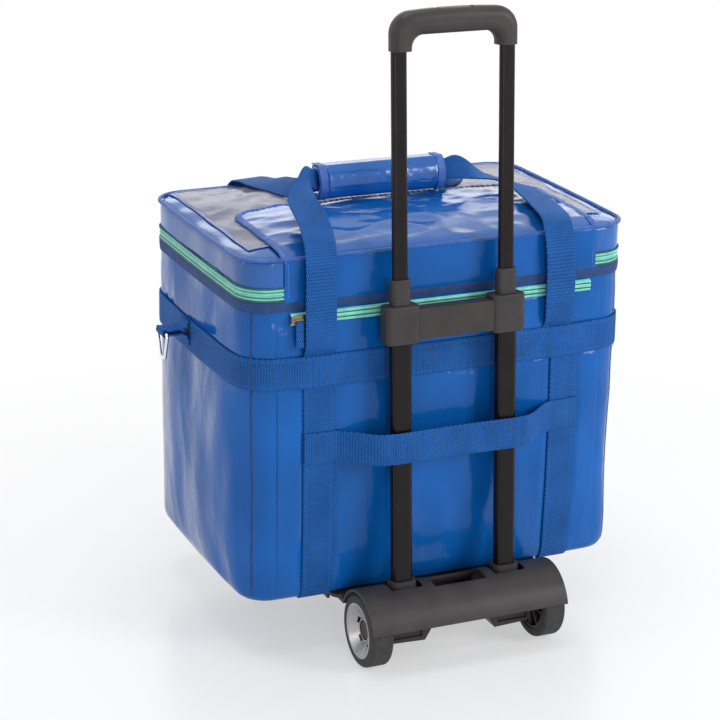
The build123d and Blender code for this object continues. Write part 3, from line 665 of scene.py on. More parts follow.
def block_form(low, high, corner, edge):
    """Upright box with round corners and softer rims."""
    bm = bmesh.new()
    bmesh.ops.create_cube(bm, size=1.0)
    bmesh.ops.scale(bm, vec=high - low, verts=bm.verts)
    bmesh.ops.translate(bm, vec=(low + high) / 2, verts=bm.verts)
    half = (high.z - low.z) / 2
    upright = [e for e in bm.edges if abs(e.verts[0].co.z - e.verts[1].co.z) > half]
    rounded(bm, upright, corner, 8)
    for level, radius in ((low.z, edge[0]), (high.z, edge[1])):
        if radius:
            rim = [e for e in bm.edges if all(abs(v.co.z - level) < 1e-5 for v in e.verts)]
            rounded(bm, rim, radius, 4)
    return bm


def remeshed(bm, voxel):
    """The same form in even square cells."""
    mesh = bpy.data.meshes.new("remesh_source")
    bm.to_mesh(mesh)
    bm.free()
    source = in_scene("remesh_source", mesh)
    cells = source.modifiers.new("Cells", "REMESH")
    cells.mode = "VOXEL"
    cells.voxel_size = voxel
    graph = bpy.context.evaluated_depsgraph_get()
    even = bpy.data.meshes.new_from_object(source.evaluated_get(graph))
    bpy.data.objects.remove(source)
    bpy.data.meshes.remove(mesh)
    return even


def filled(mesh, held, pressure):
    """Cloth simulation with inner pressure; held(vertex) gives its pinning from nought to one."""
    piece = in_scene("cloth_source", mesh)
    start = [vert.co.copy() for vert in mesh.vertices]
    group = piece.vertex_groups.new(name="held")
    for vert in mesh.vertices:
        group.add([vert.index], held(vert.co), "REPLACE")
    cloth = piece.modifiers.new("Cloth", "CLOTH")
    settings = cloth.settings
    settings.quality = 4
    settings.mass = 0.3
    settings.use_pressure = True
    settings.uniform_pressure_force = pressure
    settings.vertex_group_mass = group.name
    settings.effector_weights.gravity = 0
    cloth.point_cache.frame_start = 1
    cloth.point_cache.frame_end = PADDING_STEPS
    scene = bpy.context.scene
    for step in range(1, PADDING_STEPS + 1):
        scene.frame_set(step)
    graph = bpy.context.evaluated_depsgraph_get()
    done = bpy.data.meshes.new_from_object(piece.evaluated_get(graph))
    bpy.data.objects.remove(piece)
    scene.frame_set(1)
    for vert, before in zip(done.vertices, start):
        move = vert.co - before
        if move.length > PADDING_CAP:
            vert.co = before + move * (PADDING_CAP / move.length)
    return done


def divided(mesh):
    """Mesh as a bmesh, divided once and smoothed three times."""
    bm = bmesh.new()
    bm.from_mesh(mesh)
    bmesh.ops.subdivide_edges(bm, edges=bm.edges[:], cuts=1, use_grid_fill=True, smooth=0.0)
    for _ in range(3):
        bmesh.ops.smooth_vert(
            bm, verts=bm.verts[:], factor=0.5, use_axis_x=True, use_axis_y=True, use_axis_z=True
        )
    return bm


def tree_of(piece):
    """Search tree of a piece's surface."""
    bm = bmesh.new()
    bm.from_mesh(piece.data)
    tree = BVHTree.FromBMesh(bm)
    bm.free()
    return tree


def cast(tree, place, inward, lift, reach=0.06):
    """Point on a surface met from outside, lifted off it."""
    hit = tree.ray_cast(place - inward * reach, inward, 2 * reach)[0]
    if hit is None:
        hit = place
    return hit - inward * lift


def tube(points, radius, name, material, body, replaces=(), closed=False, slot=None):
    """Round cord along smooth points, as a mesh."""
    curve = bpy.data.curves.new(name, "CURVE")
    curve.dimensions = "3D"
    curve.bevel_depth = radius
    curve.bevel_resolution = 3
    spline = curve.splines.new("POLY")
    spline.points.add(len(points) - 1)
    for point, at in zip(spline.points, points):
        point.co = (*at, 1)
    spline.use_cyclic_u = closed
    curve.use_fill_caps = True
    holder = in_scene(name, curve)
    graph = bpy.context.evaluated_depsgraph_get()
    mesh = bpy.data.meshes.new_from_object(holder.evaluated_get(graph))
    bpy.data.objects.remove(holder)
    bm = bmesh.new()
    bm.from_mesh(mesh)
    bmesh.ops.recalc_face_normals(bm, faces=bm.faces[:])
    keep(bm, name, material, body, replaces, slot)


def between(points, share):
    """Smooth interpolation through rows of vectors at a share of their number."""
    last = len(points) - 1
    at = min(max(share, 0.0), 1.0) * last
    index = min(int(at), last - 1)
    t = at - index
    rows = [points[min(max(index + k, 0), last)] for k in (-1, 0, 1, 2)]
    result = []
    for a, b, c, d in zip(*rows):
        result.append(
            0.5 * (2 * b + (c - a) * t + (2 * a - 5 * b + 4 * c - d) * t * t
                   + (3 * b - a - 3 * c + d) * t ** 3)
        )
    return result


SKINS = {}


def make_bag_skin(fabric):
    """Outer skin of the bag, padded between its seams and creased."""
    low = Vector((-HALF_X, REAR_Y, BOTTOM_Z))
    high = Vector((HALF_X, FRONT_Y, RIM_Z + 0.012))
    mesh = remeshed(block_form(low, high, CORNER, (0.010, 0.0)), fabric.voxel)
    for vert in mesh.vertices:
        vert.co = bowed(vert.co)

    def held(place):
        on_strap = abs(abs(place.x) - STRAP_X) < WEB_WIDTH * 0.55
        near_belt = abs(place.z - BELT_Z) < WEB_WIDTH * 0.55
        near_rim = place.z > RIM_Z - 0.016
        near_bottom = place.z < BOTTOM_Z + 0.014
        return 1.0 if on_strap or near_belt or near_rim or near_bottom else 0.0

    mesh = filled(mesh, held, fabric.pressure)
    bm = divided(mesh)
    bm.normal_update()
    for vert in bm.verts:
        side = limited((vert.co.z - BOTTOM_Z - 0.004) / 0.03)
        side *= limited((RIM_Z - 0.006 - vert.co.z) / 0.03)
        if held(vert.co):
            side *= 0.25
        vert.co += vert.normal * (crease(vert.co, 0.045, 3.1) * fabric.crease * side)
    trim(bm, Vector((0, 0, RIM_Z + 0.001)), UP)
    piece = keep(
        bm, "bag_skin", "skin", "bag", ("bag_shell", "body_insulation"), "coated_fabric"
    )
    SKINS["bag"] = tree_of(piece)


def make_bag_lining():
    """Pale lining inside the bag with its stiff bottom."""
    wall = LINING_DEPTH
    low = Vector((-HALF_X + wall, REAR_Y + wall, BOTTOM_Z + wall))
    high = Vector((HALF_X - wall, FRONT_Y - wall, RIM_Z + 0.008))
    bm = block_form(low, high, CORNER - wall, (0.014, 0.0))
    bmesh.ops.subdivide_edges(bm, edges=bm.edges[:], cuts=4, use_grid_fill=True)
    top = [face for face in bm.faces if face.calc_center_median().z > high.z - 1e-4]
    bmesh.ops.delete(bm, geom=top, context="FACES")
    for vert in bm.verts:
        vert.co = bowed(vert.co)
    bmesh.ops.reverse_faces(bm, faces=bm.faces[:])
    keep(bm, "bag_lining", "lining", "bag", ("inner_liner", "base_board"), "lining")


def make_rim():
    """Rim tape, folded over the padded wall."""
    out, inside = 0.0012, 0.0185
    profile = [
        Vector((out, RIM_Z - 0.002)), Vector((out + 0.0006, RIM_Z + 0.003)),
        Vector((out + 0.0006, BAND_Z - 0.003)), Vector((out - 0.001, BAND_Z - 0.0004)),
        Vector((-0.004, BAND_Z - 0.0002)), Vector((-inside + 0.003, BAND_Z - 0.0002)),
        Vector((-inside, BAND_Z - 0.003)), Vector((-inside, RIM_Z + 0.004)),
        Vector((-inside + 0.001, RIM_Z - 0.004)),
    ]
    rows = [tuple(point) for point in profile]
    steps = int(loop_length() / 0.008)

    def place(u, v):
        at, outward = loop_place(u)
        step, level = between(rows, v)
        ripple = 0.0003 * noise.noise(Vector((u * 160, v * 3, 1)))
        return at + outward * (step + ripple) + UP * level

    bm = surface(steps, 24, place, (loop_length(), 0.05), 0.0, True)
    bmesh.ops.recalc_face_normals(bm, faces=bm.faces[:])
    keep(bm, "rim_tape", "binding", "bag", ("rim_binding",), "binding")


def zip_relief(way):
    """How far a zip's tape stands out at a distance from its middle."""
    if way < 0.0022:
        return 0.0014 * math.sqrt(max(0.0, 1 - (way / 0.0024) ** 2))
    ridge = (way - 0.0049) / 0.0018
    return 0.0016 * math.sqrt(max(0.0, 1 - ridge * ridge))


def make_main_zip():
    """Two zip tapes round three sides, each with half of the coil's ridge."""
    start, stop = share_at(SEAM_X), share_at(-SEAM_X) + 1.0
    length = loop_length() * (stop - start)
    steps = int(length / 0.006)
    height = (LID_Z - BAND_Z) / 2
    for name, way, body in (("lower", -1, "bag"), ("upper", 1, "lid")):

        def place(u, v, way=way):
            at, outward = loop_place(start + (stop - start) * u)
            away = 0.0002 + (height + 0.0008) * v
            return at + outward * (zip_relief(away) - 0.0002) + UP * (ZIP_Z + way * away)

        bm = surface(steps, 22, place, (length, height), 0.0, False)
        if way < 0:
            bmesh.ops.reverse_faces(bm, faces=bm.faces[:])
        bmesh.ops.solidify(bm, geom=bm.faces[:], thickness=0.0010)
        bmesh.ops.recalc_face_normals(bm, faces=bm.faces[:])
        keep(bm, "zip_tape_" + name, "zip_tape", body, ("main_zip_" + name,), "zip")


def make_zip_hems():
    """Near-black cords along the zip's upper and lower edges: painted shade where the zip meets the fabric.
    """
    start, stop = share_at(SEAM_X), share_at(-SEAM_X) + 1.0
    for name, z, body in (("upper", LID_Z + 0.0004, "lid"), ("lower", BAND_Z - 0.0002, "bag")):
        points = []
        for step in range(221):
            at, outward = loop_place(start + (stop - start) * step / 220)
            points.append(at + outward * 0.0010 + UP * z)
        tube(points, 0.0010, "zip_hem_" + name, "hem", body)


def stitches(name, path, face, body, pitch=0.0034):
    """Row of short raised stitches along points on a surface."""
    bm = bmesh.new()
    run = 0.0
    for first, second in zip(path, path[1:]):
        step = second - first
        run += step.length
        if run < pitch:
            continue
        run = 0.0
        along = step.normalized()
        side = face.cross(along).normalized()
        turn = Matrix((along, side, along.cross(side))).transposed().to_4x4()
        size = Matrix.Diagonal((pitch * 0.7, 0.0010, 0.0009, 1))
        bmesh.ops.create_icosphere(
            bm, subdivisions=1, radius=0.5, matrix=Matrix.Translation(second) @ turn @ size
        )
    keep(bm, name, "thread", body)


def make_lid_skin(fabric):
    """Padded lid with its lining, and the rear wall panel with its two seams."""
    low = Vector((-HALF_X, REAR_Y, LID_Z - 0.012))
    high = Vector((HALF_X, FRONT_Y, EDGE_Z + 0.001))
    mesh = remeshed(block_form(low, high, CORNER, (0.0, 0.004)), fabric.voxel)
    crown = LID_HIGH.z - EDGE_Z

    def level(place):
        x, y = abs(place.x) / HALF_X, abs(place.y - CENTRE_Y) / HALF_Y
        return max(0.0, 1 - x ** 4) * max(0.0, 1 - y ** 4)

    for vert in mesh.vertices:
        at = vert.co
        x, y = at.x / HALF_X, (at.y - CENTRE_Y) / HALF_Y
        at.y += RIM_BOW * (1 - min(1, x * x)) * y
        at.x += RIM_BOW * (1 - min(1, y * y)) * x
        if at.z > EDGE_Z - 0.004:
            at.z += crown * 0.85 * level(at)

    def held(place):
        return 1.0 if place.z < EDGE_Z - 0.004 or level(place) < 0.12 else 0.0

    mesh = filled(mesh, held, fabric.pressure)
    bm = divided(mesh)
    bm.normal_update()
    for vert in bm.verts:
        top = min(1.0, level(vert.co) * 3)
        lift = crease(vert.co, 0.05, 7.7) * fabric.crease * (0.4 + 1.1 * top)
        vert.co += vert.normal * lift
    trim(bm, Vector((0, 0, LID_Z - 0.0004)), -UP)
    notch = [
        vert for vert in bm.verts
        if vert.co.z < EDGE_Z - 0.004 and abs(vert.co.x) < SEAM_X and vert.co.y < REAR_Y + 0.003
    ]
    for vert in notch:
        vert.co.y += 0.0095
    piece = keep(bm, "lid_skin", "lid", "lid", ("lid_shell", "lid_insulation"), "coated_fabric")
    SKINS["lid"] = tree_of(piece)

    def under_place(u, v):
        x = (u - 0.5) * 2 * (HALF_X - 0.004)
        y = CENTRE_Y + (v - 0.5) * 2 * (HALF_Y - 0.006) + 0.002
        edge = max(abs(u - 0.5), abs(v - 0.5)) * 2
        sink = 0.012 * limited((1 - edge) * 9)
        return Vector((x, y, LID_Z + 0.001 + sink + 0.0007 * crease(Vector((x, y, 0)), 0.05)))

    bm = surface(64, 44, under_place, (2 * HALF_X, 2 * HALF_Y), 0.0012)
    round_corners(bm, HALF_X - 0.004, HALF_Y - 0.006, CORNER - 0.004)
    keep(bm, "lid_lining", "lining", "lid", ("lid_liner",), "lining")

    def panel(u, v):
        x = (u - 0.5) * 2 * (SEAM_X + 0.003)
        at, _ = loop_place(share_at(x))
        z = BAND_Z - 0.003 + (EDGE_Z + 0.0016 - BAND_Z) * v
        wave = 0.0006 * noise.noise(Vector((x * 22, v * 2, 5)))
        return Vector((x, at.y - 0.0014 + wave, z))

    bm = surface(90, 10, panel, (2 * SEAM_X, EDGE_Z - BAND_Z), 0.0014)
    keep(bm, "rear_wall", "skin", "bag", ("rear_wall_panel",), "coated_fabric")
    for side, name in ((-1, "left"), (1, "right")):
        rows = []
        for step in range(90):
            z = BAND_Z + 0.001 + (EDGE_Z - 0.006 - BAND_Z) * step / 89
            rows.append(Vector((side * (SEAM_X - 0.0015), loop_place(share_at(SEAM_X))[0].y - 0.0022, z)))
        stitches("rear_wall_seam_" + name, rows, Vector((0, -1, 0)), "bag")


def trim(bm, place, direction):
    """Cuts everything off on one side of a plane."""
    geometry = bm.verts[:] + bm.edges[:] + bm.faces[:]
    bmesh.ops.bisect_plane(bm, geom=geometry, plane_co=place, plane_no=direction, clear_outer=True)


def round_corners(bm, half_x, half_y, radius):
    """Pulls the corner points of a flat sheet in to a round corner."""
    for vert in bm.verts:
        x, y = vert.co.x, vert.co.y - CENTRE_Y
        over_x, over_y = abs(x) - (half_x - radius), abs(y) - (half_y - radius)
        if over_x > 0 and over_y > 0:
            reach = math.hypot(over_x, over_y)
            scale = min(1.0, radius / reach)
            vert.co.x = math.copysign(half_x - radius + over_x * scale, x)
            vert.co.y = CENTRE_Y + math.copysign(half_y - radius + over_y * scale, y)


def make_piping():
    """Piping round the top edge of the lid."""
    count = 260
    points = [loop_place(i / count, 0.0004)[0] + UP * (EDGE_Z + 0.0003) for i in range(count)]
    tube(points, 0.0025, "lid_edge_piping", "trim", "lid", ("lid_piping",), True, "binding")


def lid_point(x, y, lift):
    """Point above the lid's top."""
    return cast(SKINS["lid"], Vector((x, y, EDGE_Z)), Vector((0, 0, -1)), lift)


def make_lid_top():
    """Pocket flap with its bound edge, and the clear document pocket."""
    low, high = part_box("flap_binding")
    half_x = (high.x - low.x) / 2 - 0.003
    front = REAR_Y + 0.168
    radius = 0.024
    side = front - REAR_Y - radius
    turn = math.pi * radius / 2
    whole = 2 * (side + turn + half_x - radius)

    def flap(u, v):
        x, y = (u - 0.5) * 2 * half_x, REAR_Y + 0.0015 + (front - 0.002 - REAR_Y) * v
        over_x, over_y = abs(x) - (half_x - radius), y - (front - radius)
        if over_x > 0 and over_y > 0:
            scale = min(1.0, radius / math.hypot(over_x, over_y))
            x = math.copysign(half_x - radius + over_x * scale, x)
            y = front - radius + over_y * scale
        wave = 0.0022 * max(0.0, crease(Vector((x * 0.6, y * 1.6, 0)), 0.045, 2.0))
        loose = limited((y - REAR_Y) / 0.012)
        return lid_point(x, y, 0.0008 + (0.0016 + wave) * loose)

    bm = surface(110, 50, flap, (2 * half_x, front - REAR_Y), 0.0012)
    keep(bm, "pocket_flap", "lid", "lid", ("lid_flap",), "coated_fabric")

    def edge_place(share):
        way = min(share, 1 - share) * whole
        if way < side:
            at, out = Vector((-half_x, REAR_Y + way)), Vector((-1, 0))
        elif way < side + turn:
            angle = (way - side) / radius
            out = Vector((-math.cos(angle), math.sin(angle)))
            at = Vector((radius - half_x, front - radius)) + out * radius
        else:
            at, out = Vector((radius - half_x + way - side - turn, front)), Vector((0, 1))
        if share > 0.5:
            at.x, out.x = -at.x, -out.x
        return at, out

    def binding(u, v):
        at, out = edge_place(u)
        around = 2 * math.pi * v
        wide, tall = 0.0092, 0.0016
        place = at - out * (wide * (1 - math.cos(around)) / 2 - 0.001)
        crimp = 0.0005 * math.sin(u * 620) + 0.0007 * noise.noise(Vector((u * 70, v, 3)))
        loose = min(1.0, min(u, 1 - u) * whole / 0.012)
        lift = 0.0026 + (tall + crimp) * math.sin(around) + 0.0006 * loose
        return lid_point(place.x, place.y, max(0.0009, lift))

    bm = surface(300, 10, binding, (whole, 0.014), 0.0, True)
    bmesh.ops.recalc_face_normals(bm, faces=bm.faces[:])
    ends = [edge for edge in bm.edges if len(edge.link_faces) == 1]
    bmesh.ops.holes_fill(bm, edges=ends, sides=0)
    keep(bm, "flap_edge", "trim", "lid", ("flap_binding",), "binding")

    film_low = Vector((-HALF_X + 0.019, REAR_Y + 0.040, 0))
    film_high = Vector((HALF_X - 0.019, FRONT_Y - 0.012, 0))
    span_x, span_y = film_high.x - film_low.x, film_high.y - film_low.y
    corners = [
        Vector((film_low.x, film_low.y)), Vector((film_high.x, film_low.y)),
        Vector((film_high.x, film_high.y)), Vector((film_low.x, film_high.y)),
    ]

    def film(u, v):
        x, y = film_low.x + span_x * u, film_low.y + span_y * v
        rise = 0.0016 * max(0.0, crease(Vector((x, y, 0)), 0.05, 5.0))
        return lid_point(x, y, 0.0009 + rise * limited((y - front) / 0.02))

    bm = surface(90, 60, film, (span_x, span_y), 0.0007)
    keep(bm, "document_window", "film", "lid", ("document_pocket",), "clear_film")
    inset = 0.0022

    def frame_strip(u, v):
        way = u % 1.0 * 2 * (span_x + span_y)
        for i, run in enumerate((span_x, span_y, span_x, span_y)):
            if way <= run or i == 3:
                heading = (corners[(i + 1) % 4] - corners[i]).normalized()
                inward = Vector((-heading.y, heading.x))
                ends = min(way, run - way)
                across = (v - 0.5) * 2 * inset
                at = corners[i] + heading * way
                at += inward * across
                at += heading * (across if way < run / 2 else -across) * max(0.0, 1 - ends / inset)
                return lid_point(at.x, at.y, 0.0013)
            way -= run

    bm = surface(240, 3, frame_strip, (1.0, 2 * inset), 0.0008, True)
    keep(bm, "document_window_edge", "film_edge", "lid", (), "clear_film")


def make_rear_pocket():
    """Panel of the rear pocket, with its zip."""
    low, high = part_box("rear_pocket_panel")
    low.x, high.x = -HALF_X + CORNER, HALF_X - CORNER

    def panel(u, v):
        x = low.x + (high.x - low.x) * u
        z = low.z + (high.z - low.z) * v
        fade = min(1.0, min(u, 1 - u) * 12, v * 10, (1 - v) * 8)
        free = 0.0 if abs(abs(x) - STRAP_X) < WEB_WIDTH * 0.6 or abs(z - BELT_Z) < WEB_WIDTH * 0.6 else 1.0
        fold = max(-0.2, crease(Vector((x, 0, z)), 0.055, 1.3)) * 0.0015 * fade * free
        sag = 0.0012 * math.sin(math.pi * v) * free
        sunk = 0.0014 * max(0.0, 1 - min(u * 8, (1 - u) * 8, v * 30))
        return cast(SKINS["bag"], Vector((x, REAR_Y, z)), TO_FRONT, 0.0011 + fold + sag - sunk)

    bm = surface(110, 90, panel, (high.x - low.x, high.z - low.z), 0.0011)
    piece = keep(bm, "pocket_panel", "skin", "bag", ("rear_pocket_panel",), "coated_fabric")
    SKINS["panel"] = tree_of(piece)

    zip_low, zip_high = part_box("pocket_zip")
    middle = (zip_low.z + zip_high.z) / 2
    face = zip_low.y

    def tape(u, v):
        x = zip_low.x + (zip_high.x - zip_low.x) * u
        z = zip_low.z + (zip_high.z - zip_low.z) * v
        base = cast(SKINS["bag"], Vector((x, REAR_Y, z)), TO_FRONT, 0.0012)
        near = max(0.0, 1 - abs(z - middle) / (zip_high.z - middle))
        base.y += (face + 0.0020 - base.y) * min(1.0, near * 2.5)
        base.y -= zip_relief(abs(z - middle))
        return base

    bm = surface(130, 40, tape, (zip_high.x - zip_low.x, zip_high.z - zip_low.z), 0.0009)
    layer = bm.loops.layers.uv.active
    for vert_face in bm.faces:
        for loop in vert_face.loops:
            loop[layer].uv.y = abs(loop.vert.co.z - middle)
    keep(bm, "pocket_zip_tape", "zip_tape", "bag", ("pocket_zip",), "zip")


def make_corner_seams():
    """Welted seams down the middle of the four corners."""
    turn = math.pi * CORNER / 4
    whole = loop_length()
    run_x, run_y = 2 * (HALF_X - CORNER), 2 * (HALF_Y - CORNER)
    places = (
        ("rear_right", run_x + turn), ("front_right", run_x + 3 * turn + run_y),
        ("front_left", 2 * run_x + 5 * turn + run_y), ("rear_left", -turn),
    )
    bottom = BOTTOM_Z + 0.010
    for name, way in places:

        def place(u, v, way=way):
            z = bottom + (RIM_Z - 0.001 - bottom) * u
            across = (v - 0.5) * 2
            at, outward = loop_place((way + across * 0.0013) / whole, 0.0, 0.006)
            at.z = z
            near_belt = limited(1 - (abs(z - BELT_Z) - WEB_WIDTH / 2) / 0.006)
            lift = 0.0005 * math.sqrt(max(0.0, 1 - across * across)) + 0.0024 * near_belt
            return cast(SKINS["bag"], at, -outward, lift)

        bm = surface(110, 6, place, (RIM_Z - bottom, 0.006), 0.0)
        for face in bm.faces:
            middle = face.calc_center_median()
            if face.normal.dot(middle - Vector((0, CENTRE_Y, middle.z))) < 0:
                face.normal_flip()
        keep(bm, "corner_seam_" + name, "binding", "bag", (), "coated_fabric")


PULLS = (
    ("pocket_pull", "pocket_runner", -1),
    ("main_pull_left", "zip_runner_left", 1),
    ("main_pull_right", "zip_runner_right", 1),
)


def make_pulls():
    """Fabric tabs that hang from the zip sliders."""
    for node, body, side in PULLS:
        low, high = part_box(node)
        middle = (low + high) / 2

        def place(u, v, low=low, high=high, middle=middle, side=side):
            z = high.z - 0.002 - (high.z - low.z - 0.002) * u
            waist = 0.0038 + 0.0009 * min(1.0, u * 5)
            curl = 0.0012 * u * u
            return Vector((middle.x + (v - 0.5) * 2 * waist * 1.05, middle.y + side * curl, z))

        bm = surface(16, 6, place, (high.z - low.z, 0.0095), 0.0016, False, 0.0005)
        keep(bm, node + "_tab", "webbing", body, (node,), "webbing")


def ribbon(name, spine, body, cell=0.006, width=WEB_WIDTH):
    """Webbing along a spine; each row is a place and the way across it, shorter where it narrows."""
    rows = [(*place, *across) for place, across in spine]
    length = sum((b[0] - a[0]).length for a, b in zip(spine, spine[1:]))

    def place(u, v):
        row = between(rows, u)
        return Vector(row[:3]) + Vector(row[3:]) * ((v - 0.5) * width)

    bm = surface(
        max(12, int(length / cell)), 8, place, (length, width),
        bpy.context.scene.cooler_fabric.webbing_thick,
    )
    return keep(bm, name, "webbing", body, (), "webbing")


def make_upright_straps():
    """Two straps that run under the bag, sewn to its front and rear."""
    top = BELT_Z + WEB_WIDTH / 2
    radius = 0.011
    drop = top - BOTTOM_Z - radius
    run = FRONT_Y - REAR_Y - 2 * radius
    turn = math.pi * radius / 2
    whole = 2 * drop + 2 * turn + run

    def route(share):
        way = share * whole
        if way <= drop:
            return Vector((0, REAR_Y, top - way)), TO_FRONT
        way -= drop
        if way <= turn:
            angle = way / radius
            out = Vector((0, -math.cos(angle), -math.sin(angle)))
            return Vector((0, REAR_Y + radius, BOTTOM_Z + radius)) + out * radius, -out
        way -= turn
        if way <= run:
            return Vector((0, REAR_Y + radius + way, BOTTOM_Z)), Vector((0, 0, 1))
        way -= run
        if way <= turn:
            angle = way / radius
            out = Vector((0, math.sin(angle), -math.cos(angle)))
            return Vector((0, FRONT_Y - radius, BOTTOM_Z + radius)) + out * radius, -out
        return Vector((0, FRONT_Y, BOTTOM_Z + radius + way - turn)), Vector((0, -1, 0))

    for name, side in (("left", -1), ("right", 1)):

        def place(u, v, side=side):
            at, inward = route(u)
            at.x = side * STRAP_X + (v - 0.5) * WEB_WIDTH
            tree = SKINS["panel"] if at.y < REAR_Y + 0.001 and BOTTOM_Z + 0.012 < at.z else SKINS["bag"]
            return cast(tree, at, inward, 0.0014)

        bm = surface(220, 8, place, (whole, WEB_WIDTH), STRAP_THICK)
        keep(bm, "upright_strap_" + name, "sewn", "bag", ("vertical_strap_" + name,), "webbing")


def over_strap(x, side_y):
    """How much a strap on top of the upright ones is raised, from nought to one."""
    if not side_y:
        return 0.0
    near = abs(abs(x) - STRAP_X) - WEB_WIDTH / 2
    return limited(1 - near / 0.008)


def make_belt():
    """Belt of webbing round the whole bag."""
    steps = int(loop_length() / 0.006)

    def place(u, v):
        at, outward = loop_place(u, 0.0, 0.006)
        at.z = BELT_LOW.z + (BELT_HIGH.z - BELT_LOW.z) * v
        on_face = abs(outward.y) > 0.99
        lift = 0.0016 + 0.0024 * over_strap(at.x, on_face)
        if on_face and outward.y < 0 and abs(at.x) < SEAM_X:
            lift += 0.0012
        return cast(SKINS["bag"], at, -outward, lift)

    bm = surface(steps, 6, place, (loop_length(), WEB_WIDTH), STRAP_THICK, True)
    keep(bm, "belt", "sewn", "bag", ("belt_webbing",), "webbing")


def make_sleeve_strap():
    """Strap that holds the trolley's tubes against the bag."""
    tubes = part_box("outer_tubes")
    outer = SLEEVE_LOW.y + 0.0011
    edge = STRAP_X + WEB_WIDTH / 2
    flat = tubes[1].x + 0.006
    reach = 2 * edge

    def place(u, v):
        x = -edge + reach * u
        z = SLEEVE_LOW.z + (SLEEVE_HIGH.z - SLEEVE_LOW.z) * v
        base = cast(SKINS["panel"], Vector((x, REAR_Y, z)), TO_FRONT, 0.0036).y
        out = (edge - WEB_WIDTH - abs(x)) / (edge - WEB_WIDTH - flat)
        out = limited(out)
        out = out * out * (3 - 2 * out) if out < 1 else 1.0
        slack = 0.0012 * math.cos(math.pi * x / tubes[1].x) if abs(x) < tubes[1].x else 0.0
        return Vector((x, base + (outer - base) * out + slack, z))

    bm = surface(140, 8, place, (reach, WEB_WIDTH), 0.0020)
    keep(bm, "sleeve_strap", "webbing", "bag", ("trolley_strap",), "webbing")


def row(left, right):
    """One row of a strap from its two edges, in millimetres."""
    left, right = Vector(left) / 1000, Vector(right) / 1000
    return (left + right) / 2, (right - left) / WEB_WIDTH


# Edges of the carry straps where they turn over the lid, in millimetres. Many of the rear ones were
# worked out by a scratch script from places picked on the photo, and then adjusted by eye
REAR_TURNS = {
    "left": (
        row((-177, -124, 502), (-139, -124, 501)), row((-176, -112, 514), (-136, -112, 510)),
        row((-170, -88, 521), (-133, -92, 521)), row((-166, -52, 531), (-131, -68, 530)),
        row((-157, -22, 536), (-131, -48, 537)), row((-135, 6, 546), (-126, -22, 540)),
        row((-115, 30, 556), (-119, 0, 539)), row((-99, 41, 549), (-98, 33, 526)),
        row((-80, 43, 546), (-80, 41, 519)),
    ),
    "right": (
        row((126, -124, 497), (164, -124, 497)), row((130, -110, 505), (168, -110, 503)),
        row((134, -85, 509), (171, -90, 506)), row((140, -46, 512), (175, -58, 508)),
        row((141, -8, 517), (176, -26, 510)), row((137, 12, 520), (171, 2, 512)),
        row((130, 22, 521), (158, 34, 514)), row((117, 25, 522), (134, 54, 521)),
        row((102, 31, 522), (110, 55, 540)), row((86, 37, 522), (91, 48, 549)),
        row((73, 41, 520), (75, 44, 547)), row((55, 41, 519), (55, 43, 546)),
    ),
}
FRONT_TURNS = {
    "left": (
        row((-153, 220, 468), (-115, 220, 470)), row((-142, 213, 494), (-104, 213, 496)),
        row((-140, 190, 502), (-102, 190, 504)), row((-136, 152, 504), (-100, 160, 509)),
        row((-126, 120, 505), (-98, 130, 518)), row((-119, 77, 508), (-100, 92, 526)),
        row((-108, 55, 510), (-100, 62, 534)), row((-94, 48, 519), (-93, 49, 545)),
        row((-78, 47, 518), (-78, 47, 545)),
    ),
    "right": (
        row((117, 220, 470), (155, 220, 468)), row((120, 213, 496), (158, 213, 494)),
        row((118, 190, 503), (156, 190, 501)), row((112, 152, 505), (147, 146, 503)),
        row((104, 122, 508), (137, 114, 504)), row((90, 86, 517), (112, 74, 506)),
        row((80, 62, 530), (88, 54, 508)), row((70, 49, 545), (70, 48, 519)),
        row((54, 47, 545), (54, 47, 518)),
    ),
}


def make_carry_straps():
    """Rear carry straps over the lid's edge, and the front loop that lifts off."""
    stand = REAR_Y - 0.0135
    front = FRONT_Y + 0.016
    pivot = LOOP_FOOT_Z
    for side, name, lean in ((-1, "left", 0.0), (1, "right", 0.011)):
        x = side * STRAP_X
        spine = [
            (Vector((x - lean, REAR_Y - 0.0078, BELT_HIGH.z - 0.004)), ACROSS),
            (Vector((x - lean, REAR_Y - 0.0082, BELT_HIGH.z + 0.002)), ACROSS),
            (Vector((x - lean, stand, BELT_HIGH.z + 0.012)), ACROSS),
            (Vector((x - lean, stand, BELT_HIGH.z + 0.034)), ACROSS),
            (Vector((x - lean, stand, EDGE_Z - 0.050)), ACROSS),
            (Vector((x - lean * 1.2, stand, EDGE_Z - 0.016)), ACROSS),
            *REAR_TURNS[name],
        ]
        piece = ribbon("rear_strap_" + name, spine, None)
        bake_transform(piece)
        if side < 0:
            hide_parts("rear_strap_roots", "rear_carry_loop")
        spine = [
            (Vector((x, FRONT_Y + 0.0070, BELT_HIGH.z - 0.004)), ACROSS),
            (Vector((x, FRONT_Y + 0.0100, BELT_HIGH.z + 0.006)), ACROSS),
            (Vector((x, front, pivot + 0.006)), ACROSS),
            (Vector((x * 0.97, front, EDGE_Z - 0.060)), ACROSS),
            *FRONT_TURNS[name],
        ]
        piece = ribbon("front_strap_" + name, spine, None)
        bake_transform(piece)
        if side < 0:
            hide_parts("front_strap_roots", "front_carry_loop")
    spine = [
        row((-80, 47, 518), (-80, 47, 545)), row((-45, 45, 519), (-45, 45, 545)),
        row((-12, 45, 519), (-12, 45, 545)), row((22, 45, 519), (22, 45, 545)),
        row((56, 46, 518), (56, 46, 545)),
    ]
    ribbon("front_strap_grip", spine, "front_loop")


